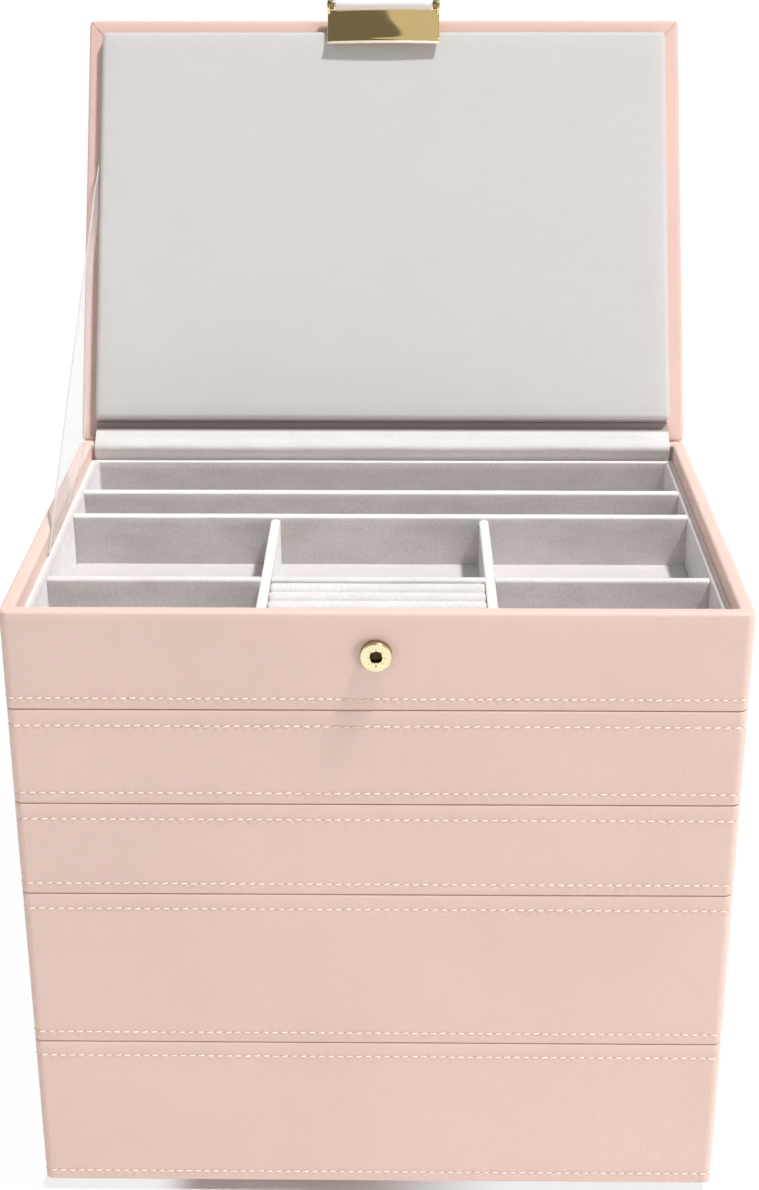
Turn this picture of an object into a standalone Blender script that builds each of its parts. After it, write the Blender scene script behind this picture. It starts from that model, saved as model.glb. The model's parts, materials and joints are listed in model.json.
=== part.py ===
"""Tiered jewelry box: five stacking trays, the top one with a hinged lid, a clasp and a ribbon stay.

Metres, +Z up, the front faces -Y. The origin is the centre of the face that the box stands on.
The lid is modelled shut in the frame of an empty on its hinge line, and that empty turns it open.
"""

import math

import bmesh
import bpy
from mathutils import Matrix, Vector

# Driving sizes of the stack
BOX_WIDTH = 0.250
BOX_DEPTH = 0.180
SHALLOW_PITCH = 0.036
DEEP_PITCH = 0.0625
TRAY_PITCHES = (SHALLOW_PITCH, SHALLOW_PITCH, SHALLOW_PITCH, DEEP_PITCH, DEEP_PITCH)
GAP = 0.0003
OVERRUN = 0.002

# Wrapped tray walls
WALL = 0.005
WALL_CORNER = 0.003
WELL_CORNER = 0.001
WALL_EDGE = 0.0015
CORNER_STEPS = 3
EDGE_STEPS = 3

# Floor board, and the plinth under it that drops inside the rim of the tray below
BASE_THICKNESS = 0.007
BASE_EDGE = 0.0004
PLINTH_DEPTH = 0.005
PLINTH_CLEARANCE = 0.001
PLINTH_EDGE = 0.0008

# Velvet liner
LINER_THICKNESS = 0.0025
LINER_DROP = 0.0065
LINER_CORNER = 0.0018
LINER_WELL_CORNER = 0.0009
LINER_EDGE = 0.0008

# Dividers and ring rolls
DIVIDER_THICKNESS = 0.0036
DIVIDER_DROP = 0.0075
SLOT_DIVIDER_DROP = 0.0062
ARCH_STEPS = 8
REAR_SLOT = 0.0352
SECOND_SLOT = 0.0232
FRONT_ROW = 0.0386
ROLL_COUNT = 5
ROLL_DROP = 0.0078
COLUMNS = 3

# Lid
LID_OPEN_ANGLE = math.radians(118.7)
LID_OVERHANG = 0.001
LID_THICKNESS = 0.008
LID_EDGE = 0.002
PAD_THICKNESS = 0.0057
PAD_SIDE_CLEARANCE = 0.0011
PAD_FRONT_CLEARANCE = 0.0008
PAD_REAR_MARGIN = 0.0076
PAD_CORNER = 0.003
PAD_EDGE = 0.002

# Cloth hinge: the strip outside and the lining strip inside
SPINE_THICKNESS = 0.0009
SPINE_REACH = 0.012
SPINE_END_MARGIN = 0.001
LINING_THICKNESS = 0.0009
LINING_BEND = 0.004
LINING_END_MARGIN = 0.0004
BEND_STEPS = 6

# Ribbon that stops the lid
RIBBON_WIDTH = 0.012
RIBBON_THICKNESS = 0.0005
RIBBON_LID_REACH = 0.1155
RIBBON_FOOT_BACK_FROM_CENTRE = -0.015

# Clasp: a flap on a pin, which a tab holds at the lid's free edge
TAB_SIDE_CLEARANCE = 0.00225
TAB_THICKNESS = 0.0013
TAB_ROOT_MARGIN = 0.001
PIN_RADIUS = 0.0008
PIN_RUNNING_GAP = 0.0003
PIN_DROP = 0.0065
PIN_STAND_OFF = 0.0022
PIN_OVERHANG = 0.0004
LOOP_SWEEP = math.radians(250)
LOOP_STEPS = 20
FLAP_REST_TILT = math.radians(7)
PLATE_WIDTH = 0.047
PLATE_THICKNESS = 0.0012
PLATE_BOTTOM = 0.0176
PLATE_LIP = 0.0009
CHEEK_THICKNESS = 0.001
CHEEK_DEPTH = 0.0026
CHEEK_REACH = 0.0105
EAR_RADIUS = 0.0018
STUD_RADIUS = 0.0014
STUD_REACH = 0.0013
STUD_EDGE = 0.0004

# Press stud on the front wall, which the flap's stud enters
SNAP_DROP = 0.015
SNAP_RADIUS = 0.0053
SNAP_THICKNESS = 0.0032
SNAP_SHOULDER = 0.0007
SNAP_RING_RADIUS = 0.0027
SNAP_RING_DEPTH = 0.0003
SNAP_HOLE_RADIUS = 0.0018
SNAP_HOLE_DEPTH = 0.0025
SHANK_RADIUS = 0.0016
WASHER_RADIUS = 0.0042
WASHER_THICKNESS = 0.001
ROUND_STEPS = 32

# Worked out from the sizes above
INNER_WIDTH = BOX_WIDTH - 2 * WALL
INNER_DEPTH = BOX_DEPTH - 2 * WALL
LINER_WIDTH = INNER_WIDTH - 2 * GAP
LINER_DEPTH = INNER_DEPTH - 2 * GAP
WELL_WIDTH = LINER_WIDTH - 2 * LINER_THICKNESS
WELL_DEPTH = LINER_DEPTH - 2 * LINER_THICKNESS
WELL_FLOOR = BASE_THICKNESS + GAP + LINER_THICKNESS
SEAT_GAP = GAP + LINER_EDGE * (1 - math.sqrt(0.5))
LID_LENGTH = BOX_DEPTH + LID_OVERHANG
TAB_WIDTH = PLATE_WIDTH - 2 * (CHEEK_THICKNESS + TAB_SIDE_CLEARANCE)
TAB_LINE = -(LID_LENGTH + GAP + TAB_THICKNESS / 2)
LOOP_RADIUS = PIN_RADIUS + PIN_RUNNING_GAP + TAB_THICKNESS / 2
PIN_REACH = LID_LENGTH + PIN_STAND_OFF + LOOP_RADIUS
PLATE_BACK = PIN_REACH - BOX_DEPTH - SNAP_THICKNESS - GAP
PLATE_TOP = LOOP_RADIUS + TAB_THICKNESS / 2 + GAP

MATERIALS = {
    "leatherette": ((0.78, 0.58, 0.50), 0.55, 0.0),
    "board": ((0.62, 0.44, 0.37), 0.8, 0.0),
    "velvet": ((0.78, 0.74, 0.73), 0.95, 0.0),
    "pad_velvet": ((0.70, 0.67, 0.65), 0.95, 0.0),
    "brass": ((0.80, 0.66, 0.38), 0.25, 1.0),
    "ribbon": ((0.88, 0.87, 0.88), 0.6, 0.0),
    "tab_hide": ((0.83, 0.79, 0.77), 0.6, 0.0),
}


def clear_scene():
    for obj in list(bpy.data.objects):
        bpy.data.objects.remove(obj)


def make_collection(name, hidden=False):
    collection = bpy.data.collections.new(name)
    bpy.context.scene.collection.children.link(collection)
    collection.hide_render = hidden
    return collection


def make_material(name):
    colour, roughness, metallic = MATERIALS[name]
    material = bpy.data.materials.new(name)
    material.use_nodes = True
    shader = material.node_tree.nodes["Principled BSDF"]
    shader.inputs["Base Color"].default_value = (*colour, 1)
    shader.inputs["Roughness"].default_value = roughness
    shader.inputs["Metallic"].default_value = metallic
    return material


clear_scene()
PARTS = make_collection("tiered_jewelry_box")
CUTTERS = make_collection("cutters", hidden=True)
FINISH = {name: make_material(name) for name in MATERIALS}


def place(obj, parent, location=(0, 0, 0), rotation=(0, 0, 0), finish=None):
    """Link an object to the parts, in its parent's frame, with its finish."""
    PARTS.objects.link(obj)
    obj.parent = parent
    obj.location = location
    obj.rotation_euler = rotation
    if finish:
        obj.data.materials.append(FINISH[finish])
    return obj


def make_empty(name, parent, location, rotation=(0, 0, 0)):
    empty = bpy.data.objects.new(name, None)
    return place(empty, parent, location, rotation)


def smooth_rounds(mesh):
    mesh.shade_smooth()
    mesh.set_sharp_from_angle(angle=math.radians(35))


def mesh_object(name, bm):
    mesh = bpy.data.meshes.new(name)
    bmesh.ops.recalc_face_normals(bm, faces=bm.faces)
    bm.to_mesh(mesh)
    bm.free()
    return bpy.data.objects.new(name, mesh)


def box_with_corners(size, corner):
    """A block with rounded upright corners."""
    bm = bmesh.new()
    bmesh.ops.create_cube(bm, size=1)
    bmesh.ops.scale(bm, vec=size, verts=bm.verts)
    upright = [e for e in bm.edges if abs(e.verts[0].co.z - e.verts[1].co.z) > size[2] / 2]
    bmesh.ops.bevel(bm, geom=upright, offset=corner, segments=CORNER_STEPS, profile=0.5, affect="EDGES")
    return bm


def round_edges(obj, width, steps=EDGE_STEPS):
    bevel = obj.modifiers.new("rounded_edges", "BEVEL")
    bevel.width = width
    bevel.segments = steps
    bevel.limit_method = "ANGLE"
    bevel.angle_limit = math.radians(40)
    smooth_rounds(obj.data)


def block(name, parent, size, centre, corner, edge, finish, steps=EDGE_STEPS):
    obj = mesh_object(name, box_with_corners(size, corner))
    round_edges(obj, edge, steps)
    return place(obj, parent, centre, finish=finish)


def hollow_block(name, parent, size, base_z, thickness, corners, edge, finish, steps, floor=False):
    """A block of walls of one thickness round a well, which is open below where there is no floor.

    corners holds the upright corners' radii, outside and inside.
    """
    obj = mesh_object(name, box_with_corners(size, corners[0]))
    below = thickness if floor else -OVERRUN
    well = (size[0] - 2 * thickness, size[1] - 2 * thickness, size[2] - below + OVERRUN)
    cut = mesh_object(name + "_well_cutter", box_with_corners(well, corners[1]))
    well_z = base_z + below + well[2] / 2
    boolean(obj, cutter(cut, parent, (0, 0, well_z)), "DIFFERENCE")
    round_edges(obj, edge, steps)
    return place(obj, parent, (0, 0, base_z + size[2] / 2), finish=finish)


def flat_outline(name, points, thickness):
    """A closed flat outline with a thickness, centred on its own plane."""
    curve = bpy.data.curves.new(name, "CURVE")
    curve.dimensions = "2D"
    curve.fill_mode = "BOTH"
    curve.extrude = thickness / 2
    spline = curve.splines.new("POLY")
    spline.points.add(len(points) - 1)
    for point, (x, y) in zip(spline.points, points):
        point.co = (x, y, 0, 1)
    spline.use_cyclic_u = True
    return bpy.data.objects.new(name, curve)


def as_mesh(obj):
    """The same object as a mesh, with its caps welded, in place of the curve."""
    bpy.context.view_layer.update()
    evaluated = obj.evaluated_get(bpy.context.evaluated_depsgraph_get())
    bm = bmesh.new()
    bm.from_mesh(bpy.data.meshes.new_from_object(evaluated))
    bmesh.ops.remove_doubles(bm, verts=bm.verts, dist=GAP / 30)
    solid = mesh_object(obj.name + "_solid", bm)
    name, parent = obj.name, obj.parent
    solid.data.materials.append(obj.data.materials[0])
    place(solid, parent, obj.location, obj.rotation_euler)
    bpy.data.objects.remove(obj)
    solid.name = name
    return solid


def arc(centre, radius, start, sweep, steps):
    """Points round a centre, from the start angle through the sweep."""
    turns = [start + sweep * i / steps for i in range(steps + 1)]
    return [(centre[0] + radius * math.cos(t), centre[1] + radius * math.sin(t)) for t in turns]


def strip_outline(path, thickness):
    """The outline of a strip of even thickness that follows a path, mitred at each bend."""
    points = [Vector(p) for p in path]
    sides = []
    for i, point in enumerate(points):
        before = (point - points[i - 1]).normalized() if i else None
        after = (points[i + 1] - point).normalized() if i + 1 < len(points) else None
        along = ((before or after) + (after or before)).normalized()
        across = Vector((-along.y, along.x))
        stretch = 1 / max(math.sqrt(0.5), along.dot(before or after))
        sides.append(across * stretch * thickness / 2)
    left = [tuple(p + s) for p, s in zip(points, sides)]
    right = [tuple(p - s) for p, s in zip(points, sides)]
    return left + right[::-1]


def across_x(name, parent, outline, width, location, finish):
    """An outline drawn as (y, z), carried along X over a width."""
    obj = flat_outline(name, outline, width)
    return place(obj, parent, location, (math.pi / 2, 0, math.pi / 2), finish)


def turned(name, profile, closed=False):
    """A profile of (radius, height) points turned round Z. It runs down its outer side."""
    bm = bmesh.new()
    verts = [bm.verts.new((r, 0, z)) for r, z in profile]
    for a, b in zip(verts, verts[1:]):
        bm.edges.new((a, b))
    if closed:
        bm.edges.new((verts[-1], verts[0]))
    mesh = bpy.data.meshes.new(name)
    bm.to_mesh(mesh)
    bm.free()
    obj = bpy.data.objects.new(name, mesh)
    screw = obj.modifiers.new("turn", "SCREW")
    screw.steps = ROUND_STEPS
    screw.render_steps = ROUND_STEPS
    screw.use_merge_vertices = True
    screw.merge_threshold = 0.00001
    screw.use_smooth_shade = False
    return obj


def rod(name, radius, length):
    """A plain cylinder along Z."""
    bm = bmesh.new()
    bmesh.ops.create_cone(
        bm, cap_ends=True, segments=ROUND_STEPS, radius1=radius, radius2=radius, depth=length
    )
    obj = mesh_object(name, bm)
    smooth_rounds(obj.data)
    return obj


def boolean(obj, other, operation):
    other.hide_render = True
    other.display_type = "WIRE"
    modifier = obj.modifiers.new(operation.lower(), "BOOLEAN")
    modifier.operation = operation
    modifier.object = other


def cutter(obj, parent, location, rotation=(0, 0, 0)):
    CUTTERS.objects.link(obj)
    obj.parent = parent
    obj.location = location
    obj.rotation_euler = rotation
    return obj


def rounded_board(name, tray, start, end, top, thickness):
    """A board with a half-round top, from start to end on the liner's floor."""
    (x0, y0), (x1, y1) = start, end
    bottom = WELL_FLOOR + SEAT_GAP
    half = thickness / 2
    outline = [(-half, bottom), (half, bottom)]
    outline += arc((0, top - half), half, 0, math.pi, ARCH_STEPS)
    along_x = abs(x1 - x0) > abs(y1 - y0)
    length = abs(x1 - x0) + abs(y1 - y0) - 2 * SEAT_GAP
    obj = flat_outline(name, outline, length)
    turn = math.pi / 2 if along_x else math.pi
    middle = ((x0 + x1) / 2, (y0 + y1) / 2, 0)
    return place(obj, tray, middle, (math.pi / 2, 0, turn), "velvet")


def build_tray(number, parent, base_z, pitch):
    """One tray: wrapped walls, floor board, plinth and liner. It returns the tray's empty."""
    tray = make_empty(f"tray_{number}", parent, (0, 0, base_z))
    height = pitch - GAP
    walls = (BOX_WIDTH, BOX_DEPTH, height)
    hollow_block(
        f"tray{number}_walls", tray, walls, 0, WALL, (WALL_CORNER, WELL_CORNER), WALL_EDGE,
        "leatherette", EDGE_STEPS,
    )
    board = (INNER_WIDTH - 2 * GAP, INNER_DEPTH - 2 * GAP, BASE_THICKNESS)
    block(
        f"tray{number}_floor_board", tray, board, (0, 0, BASE_THICKNESS / 2), WELL_CORNER, BASE_EDGE,
        "board", 1,
    )
    inset = 2 * (WALL + PLINTH_CLEARANCE)
    plinth = (BOX_WIDTH - inset, BOX_DEPTH - inset, PLINTH_DEPTH - GAP)
    block(
        f"tray{number}_plinth", tray, plinth, (0, 0, -(PLINTH_DEPTH + GAP) / 2), WALL_CORNER - PLINTH_EDGE,
        PLINTH_EDGE, "leatherette", 1,
    )
    liner_floor = BASE_THICKNESS + GAP
    liner = (LINER_WIDTH, LINER_DEPTH, height - LINER_DROP - liner_floor)
    hollow_block(
        f"tray{number}_liner", tray, liner, liner_floor, LINER_THICKNESS, (LINER_CORNER, LINER_WELL_CORNER),
        LINER_EDGE, "velvet", 2, floor=True,
    )
    return tray


def row_lines(depths):
    """The lines of the dividers between rows of these depths, from the rear, inside the liner."""
    lines = []
    y = WELL_DEPTH / 2
    for depth in depths[:-1]:
        y -= depth + DIVIDER_THICKNESS
        lines.append(y + DIVIDER_THICKNESS / 2)
    return lines


def even_depths(count):
    return [(WELL_DEPTH - (count - 1) * DIVIDER_THICKNESS) / count] * count


def column_lines(count):
    """The lines of the dividers between equal columns across the liner."""
    column = (WELL_WIDTH - (count - 1) * DIVIDER_THICKNESS) / count
    step = column + DIVIDER_THICKNESS
    return [-WELL_WIDTH / 2 + step * i - DIVIDER_THICKNESS / 2 for i in range(1, count)]


def cross_divider(name, tray, y, top, ends=None):
    """A divider along X. Its ends meet the liner, or the faces of the dividers at ends."""
    x0, x1 = ends or (-WELL_WIDTH / 2, WELL_WIDTH / 2)
    rounded_board(name, tray, (x0, y), (x1, y), top, DIVIDER_THICKNESS)


def column_divider(name, tray, x, front, rear, top):
    rounded_board(name, tray, (x, front), (x, rear), top, DIVIDER_THICKNESS)


def bays(lines, half_span):
    """The clear stretches between dividers on these lines, and the liner's two faces."""
    half = DIVIDER_THICKNESS / 2
    starts = [-half_span] + [line + half for line in lines]
    ends = [line - half for line in lines] + [half_span]
    return list(zip(starts, ends))


def furnish_top_tray(tray):
    """Two long slots at the rear, then three columns in two rows, with ring rolls in the front middle."""
    top = SHALLOW_PITCH - GAP - DIVIDER_DROP
    middle_row = WELL_DEPTH - REAR_SLOT - SECOND_SLOT - FRONT_ROW - 3 * DIVIDER_THICKNESS
    rear, second, cross = row_lines([REAR_SLOT, SECOND_SLOT, middle_row, FRONT_ROW])
    slot_top = SHALLOW_PITCH - GAP - SLOT_DIVIDER_DROP
    cross_divider("tray1_rear_slot_divider", tray, rear, slot_top)
    cross_divider("tray1_second_slot_divider", tray, second, slot_top)
    columns = column_lines(COLUMNS)
    front_wall = -WELL_DEPTH / 2
    row_rear = second - DIVIDER_THICKNESS / 2
    for side, x in zip(("left", "right"), columns):
        column_divider(f"tray1_{side}_column_divider", tray, x, front_wall, row_rear, top)
    for side, ends in zip(("left", "middle", "right"), bays(columns, WELL_WIDTH / 2)):
        cross_divider(f"tray1_{side}_cross_divider", tray, cross, top, ends)
    add_ring_rolls(tray, bays(columns, WELL_WIDTH / 2)[1], front_wall)


def add_ring_rolls(tray, bay, front_wall):
    room = FRONT_ROW - 2 * SEAT_GAP - (ROLL_COUNT - 1) * GAP
    roll = room / ROLL_COUNT
    top = SHALLOW_PITCH - GAP - ROLL_DROP
    for i in range(ROLL_COUNT):
        y = front_wall + SEAT_GAP + roll / 2 + i * (roll + GAP)
        rounded_board(f"tray1_ring_roll_{i + 1}", tray, (bay[0], y), (bay[1], y), top, roll)


def furnish_grid_tray(tray, number, pitch, columns_by_row):
    """Rows of equal depth, the first at the rear, each with its own number of columns."""
    top = pitch - GAP - DIVIDER_DROP
    rows = row_lines(even_depths(len(columns_by_row)))
    for i, y in enumerate(rows):
        cross_divider(f"tray{number}_row_divider_{i + 1}", tray, y, top)
    spans = bays(rows[::-1], WELL_DEPTH / 2)[::-1]
    for row, (count, (front, rear)) in enumerate(zip(columns_by_row, spans), 1):
        for i, x in enumerate(column_lines(count), 1):
            column_divider(f"tray{number}_row{row}_divider_{i}", tray, x, front, rear, top)


def cut_snap_seat(tray):
    """The hole through the front wall for the press stud, and the washer's seat inside it."""
    walls = bpy.data.objects["tray1_walls"]
    z = SHALLOW_PITCH - GAP - SNAP_DROP
    hole = rod("snap_hole_cutter", SHANK_RADIUS + GAP, WALL + 2 * OVERRUN)
    boolean(walls, cutter(hole, tray, (0, -BOX_DEPTH / 2 + WALL / 2, z), (math.pi / 2, 0, 0)), "DIFFERENCE")
    seat_depth = WASHER_THICKNESS + GAP
    seat = rod("snap_seat_cutter", WASHER_RADIUS + GAP, seat_depth + OVERRUN)
    seat_y = -BOX_DEPTH / 2 + WALL - seat_depth + (seat_depth + OVERRUN) / 2
    boolean(walls, cutter(seat, tray, (0, seat_y, z), (math.pi / 2, 0, 0)), "DIFFERENCE")


def build_snap(tray):
    """The press stud: a dished disc with a blind hole, its shank, and the washer that holds it."""
    z = SHALLOW_PITCH - GAP - SNAP_DROP
    front = (0, -BOX_DEPTH / 2, z)
    face = SNAP_THICKNESS
    shank_end = -(WALL - GAP)
    profile = [
        (0, face - SNAP_HOLE_DEPTH),
        (SNAP_HOLE_RADIUS, face - SNAP_HOLE_DEPTH),
        (SNAP_HOLE_RADIUS, face - SNAP_RING_DEPTH),
        (SNAP_RING_RADIUS, face - SNAP_RING_DEPTH),
        (SNAP_RING_RADIUS, face),
        (SNAP_RADIUS - SNAP_SHOULDER, face),
        (SNAP_RADIUS, face - SNAP_SHOULDER),
        (SNAP_RADIUS, GAP),
        (SHANK_RADIUS, GAP),
        (SHANK_RADIUS, shank_end),
        (0, shank_end),
    ]
    disc = turned("snap_disc", profile)
    place(disc, tray, front, (math.pi / 2, 0, 0), "brass")
    outer, bore = WASHER_RADIUS, SHANK_RADIUS + GAP
    washer_face = -(WALL - WASHER_THICKNESS - GAP)
    washer_back = washer_face - WASHER_THICKNESS + GAP
    ring = [(outer, washer_face - GAP), (outer, washer_back), (bore, washer_back), (bore, washer_face - GAP)]
    washer = turned("snap_washer", ring, closed=True)
    place(washer, tray, front, (math.pi / 2, 0, 0), "brass")


def build_lid(tray):
    """The wrapped lid and its pad, drawn shut and turned open on the hinge line."""
    pivot = make_empty(
        "lid_pivot", tray, (0, BOX_DEPTH / 2, SHALLOW_PITCH - GAP), (-LID_OPEN_ANGLE, 0, 0)
    )
    panel = (BOX_WIDTH, LID_LENGTH, LID_THICKNESS)
    block(
        "lid_panel", pivot, panel, (0, -LID_LENGTH / 2, GAP + LID_THICKNESS / 2), WALL_CORNER, LID_EDGE,
        "leatherette",
    )
    front = -(BOX_DEPTH - WALL - PAD_FRONT_CLEARANCE)
    pad = (INNER_WIDTH - 2 * PAD_SIDE_CLEARANCE, -front - PAD_REAR_MARGIN, PAD_THICKNESS)
    block(
        "lid_pad", pivot, pad, (0, (front - PAD_REAR_MARGIN) / 2, -PAD_THICKNESS / 2), PAD_CORNER, PAD_EDGE,
        "pad_velvet",
    )
    return pivot


def lid_point(along, out):
    """A place on the open lid as (y, z) from the hinge line: along its inner face, and out from it."""
    turn = LID_OPEN_ANGLE
    return Vector((-along * math.cos(turn) + out * math.sin(turn), along * math.sin(turn) + out * math.cos(turn)))


def build_spine(tray):
    """The outer hinge strip, folded into the wedge between the back wall and the open lid's rear edge."""
    half_wedge = (math.pi - LID_OPEN_ANGLE) / 2
    near, far = GAP, GAP + SPINE_THICKNESS
    into_wedge = Vector((math.sin(half_wedge), -math.cos(half_wedge)))
    inner_corner = into_wedge * near / math.sin(half_wedge)
    outer_corner = into_wedge * far / math.sin(half_wedge)
    lid_reach = LID_THICKNESS - LID_EDGE / 2
    outline = [
        (near, -SPINE_REACH),
        tuple(inner_corner),
        tuple(lid_point(-near, lid_reach)),
        tuple(lid_point(-far, lid_reach)),
        tuple(outer_corner),
        (far, -SPINE_REACH),
    ]
    width = BOX_WIDTH - 2 * (WALL_CORNER + SPINE_END_MARGIN)
    across_x("hinge_spine", tray, outline, width, (0, BOX_DEPTH / 2, SHALLOW_PITCH - GAP), "leatherette")


def build_hinge_lining(tray):
    """The inner hinge strip: down the open lid, over the rear rim and down to the liner's edge."""
    half = LINING_THICKNESS / 2
    rim_line = GAP + half
    face_start = lid_point(PAD_REAR_MARGIN - GAP, -half)
    down_lid = -lid_point(1, 0)
    # The strip's middle line follows the lid to a round bend, which meets the rim line.
    bend = math.pi - LID_OPEN_ANGLE
    tangent = LINING_BEND * math.tan(bend / 2)
    meet = face_start + down_lid * (face_start.y - rim_line) / -down_lid.y
    centre = (meet.x - tangent, rim_line + LINING_BEND)
    path = [tuple(face_start)]
    path += arc(centre, LINING_BEND, -math.pi / 2 + bend, -bend, BEND_STEPS)
    wall_line = -WALL - GAP - half
    turn_radius = WALL_EDGE
    path += arc(
        (wall_line + turn_radius, rim_line - turn_radius), turn_radius, math.pi / 2, math.pi / 2, BEND_STEPS
    )
    path.append((wall_line, -LINER_DROP + GAP))
    width = INNER_WIDTH - 2 * (PAD_SIDE_CLEARANCE + LINING_END_MARGIN)
    outline = strip_outline(path, LINING_THICKNESS)
    across_x("hinge_lining", tray, outline, width, (0, BOX_DEPTH / 2, SHALLOW_PITCH - GAP), "velvet")


def build_ribbon(tray):
    """The flat ribbon from under the pad's left side down to the left wall, pulled straight."""
    foot_y = RIBBON_FOOT_BACK_FROM_CENTRE - BOX_DEPTH / 2
    foot = Vector((foot_y, -LINER_DROP + GAP))
    head = lid_point(RIBBON_LID_REACH, 0)
    run = (head - foot).normalized()
    half_cut = Vector((RIBBON_WIDTH / 2 / run.y, 0))
    half_head = RIBBON_WIDTH / 2
    outline = [
        tuple(foot - half_cut),
        tuple(foot + half_cut),
        tuple(lid_point(RIBBON_LID_REACH - half_head, 0)),
        tuple(lid_point(RIBBON_LID_REACH + half_head, 0)),
    ]
    x = -(INNER_WIDTH / 2 - GAP - RIBBON_THICKNESS / 2)
    location = (x, BOX_DEPTH / 2, SHALLOW_PITCH - GAP)
    across_x("ribbon_stay", tray, outline, RIBBON_THICKNESS, location, "ribbon")


def build_tab(pivot):
    """The tab on the lid's free edge, whose end wraps round the clasp's pin."""
    pin = (-PIN_REACH, -PIN_DROP)
    path = [
        (TAB_LINE, LID_THICKNESS - TAB_ROOT_MARGIN),
        (TAB_LINE, -PIN_DROP / 4),
        (-PIN_REACH + LOOP_RADIUS, -PIN_DROP * 3 / 4),
    ]
    path += arc(pin, LOOP_RADIUS, 0, -LOOP_SWEEP, LOOP_STEPS)
    outline = strip_outline(path, TAB_THICKNESS)
    across_x("clasp_tab", pivot, outline, TAB_WIDTH, (0, 0, 0), "tab_hide")


def build_flap(pivot):
    """The flap hangs from its pin in the empty's frame, with its back towards the front wall."""
    flap = make_empty(
        "clasp_pivot", pivot, (0, -PIN_REACH, -PIN_DROP), (math.pi / 2 - FLAP_REST_TILT, 0, 0)
    )
    pin = rod("clasp_pin", PIN_RADIUS, PLATE_WIDTH + 2 * PIN_OVERHANG)
    place(pin, flap, rotation=(0, math.pi / 2, 0), finish="brass")
    build_plate(flap)
    stud = rod("clasp_stud", STUD_RADIUS, STUD_REACH - GAP)
    round_edges(stud, STUD_EDGE, 2)
    stud_y = PLATE_BACK + (GAP + STUD_REACH) / 2
    place(stud, flap, (0, stud_y, -(SNAP_DROP - PIN_DROP)), (math.pi / 2, 0, 0), "brass")


def build_plate(flap):
    """The plate with its lip, and a cheek at each side that ends in an ear round the pin."""
    middle = PLATE_BACK - PLATE_THICKNESS / 2
    lip_rise = PLATE_LIP * 2
    path = [
        (middle, -PLATE_TOP),
        (middle, -(PLATE_BOTTOM - lip_rise)),
        (middle - PLATE_LIP, -PLATE_BOTTOM),
    ]
    outline = strip_outline(path, PLATE_THICKNESS)
    plate = as_mesh(across_x("clasp_plate", flap, outline, PLATE_WIDTH, (0, 0, 0), "brass"))
    back = PLATE_BACK - PLATE_THICKNESS + CHEEK_DEPTH
    front = PLATE_BACK - PLATE_THICKNESS / 2
    cheek = [(front, -CHEEK_REACH), (back, -CHEEK_REACH + (back - front)), (back, -EAR_RADIUS)]
    cheek += arc((0, 0), EAR_RADIUS, 0, math.pi, ROUND_STEPS // 2)
    cheek += [(-EAR_RADIUS, -EAR_RADIUS), (front, -PLATE_TOP - EAR_RADIUS)]
    for side, sign in (("left", -1), ("right", 1)):
        x = sign * (PLATE_WIDTH - CHEEK_THICKNESS) / 2
        obj = as_mesh(across_x(f"{side}_cheek", flap, cheek, CHEEK_THICKNESS, (x, 0, 0), "brass"))
        PARTS.objects.unlink(obj)
        CUTTERS.objects.link(obj)
        boolean(plate, obj, "UNION")
    bore = rod("pin_bore_cutter", PIN_RADIUS + PIN_RUNNING_GAP, PLATE_WIDTH + 2 * OVERRUN)
    boolean(plate, cutter(bore, flap, (0, 0, 0), (0, math.pi / 2, 0)), "DIFFERENCE")


def build_stack():
    """The trays from the bottom up, each on the one below."""
    trays = {}
    parent = None
    rise = PLINTH_DEPTH
    for number in range(len(TRAY_PITCHES), 0, -1):
        pitch = TRAY_PITCHES[number - 1]
        parent = build_tray(number, parent, rise, pitch)
        trays[number] = parent
        rise = pitch
    return trays


def main():
    trays = build_stack()
    furnish_top_tray(trays[1])
    furnish_grid_tray(trays[2], 2, TRAY_PITCHES[1], (COLUMNS, COLUMNS, COLUMNS))
    furnish_grid_tray(trays[3], 3, TRAY_PITCHES[2], (2, COLUMNS))
    furnish_grid_tray(trays[4], 4, TRAY_PITCHES[3], (COLUMNS,))
    furnish_grid_tray(trays[5], 5, TRAY_PITCHES[4], (1, 1))
    cut_snap_seat(trays[1])
    build_snap(trays[1])
    pivot = build_lid(trays[1])
    build_spine(trays[1])
    build_hinge_lining(trays[1])
    build_ribbon(trays[1])
    build_tab(pivot)
    build_flap(pivot)
    bpy.context.view_layer.update()


main()
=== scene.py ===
"""The looks of a tiered jewelry box: five stitched leatherette trays with velvet wells and an open lid.

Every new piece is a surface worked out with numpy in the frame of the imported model. Lengths are in metres.
The front faces -Y, +X is to the right and +Z is up.
"""

from __future__ import annotations

import json
import logging
import math
from collections.abc import Callable, Mapping, Sequence
from dataclasses import dataclass, field
from enum import Enum
from typing import Any

import bmesh
import bpy
import numpy as np
from mathutils import Matrix, Vector

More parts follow.
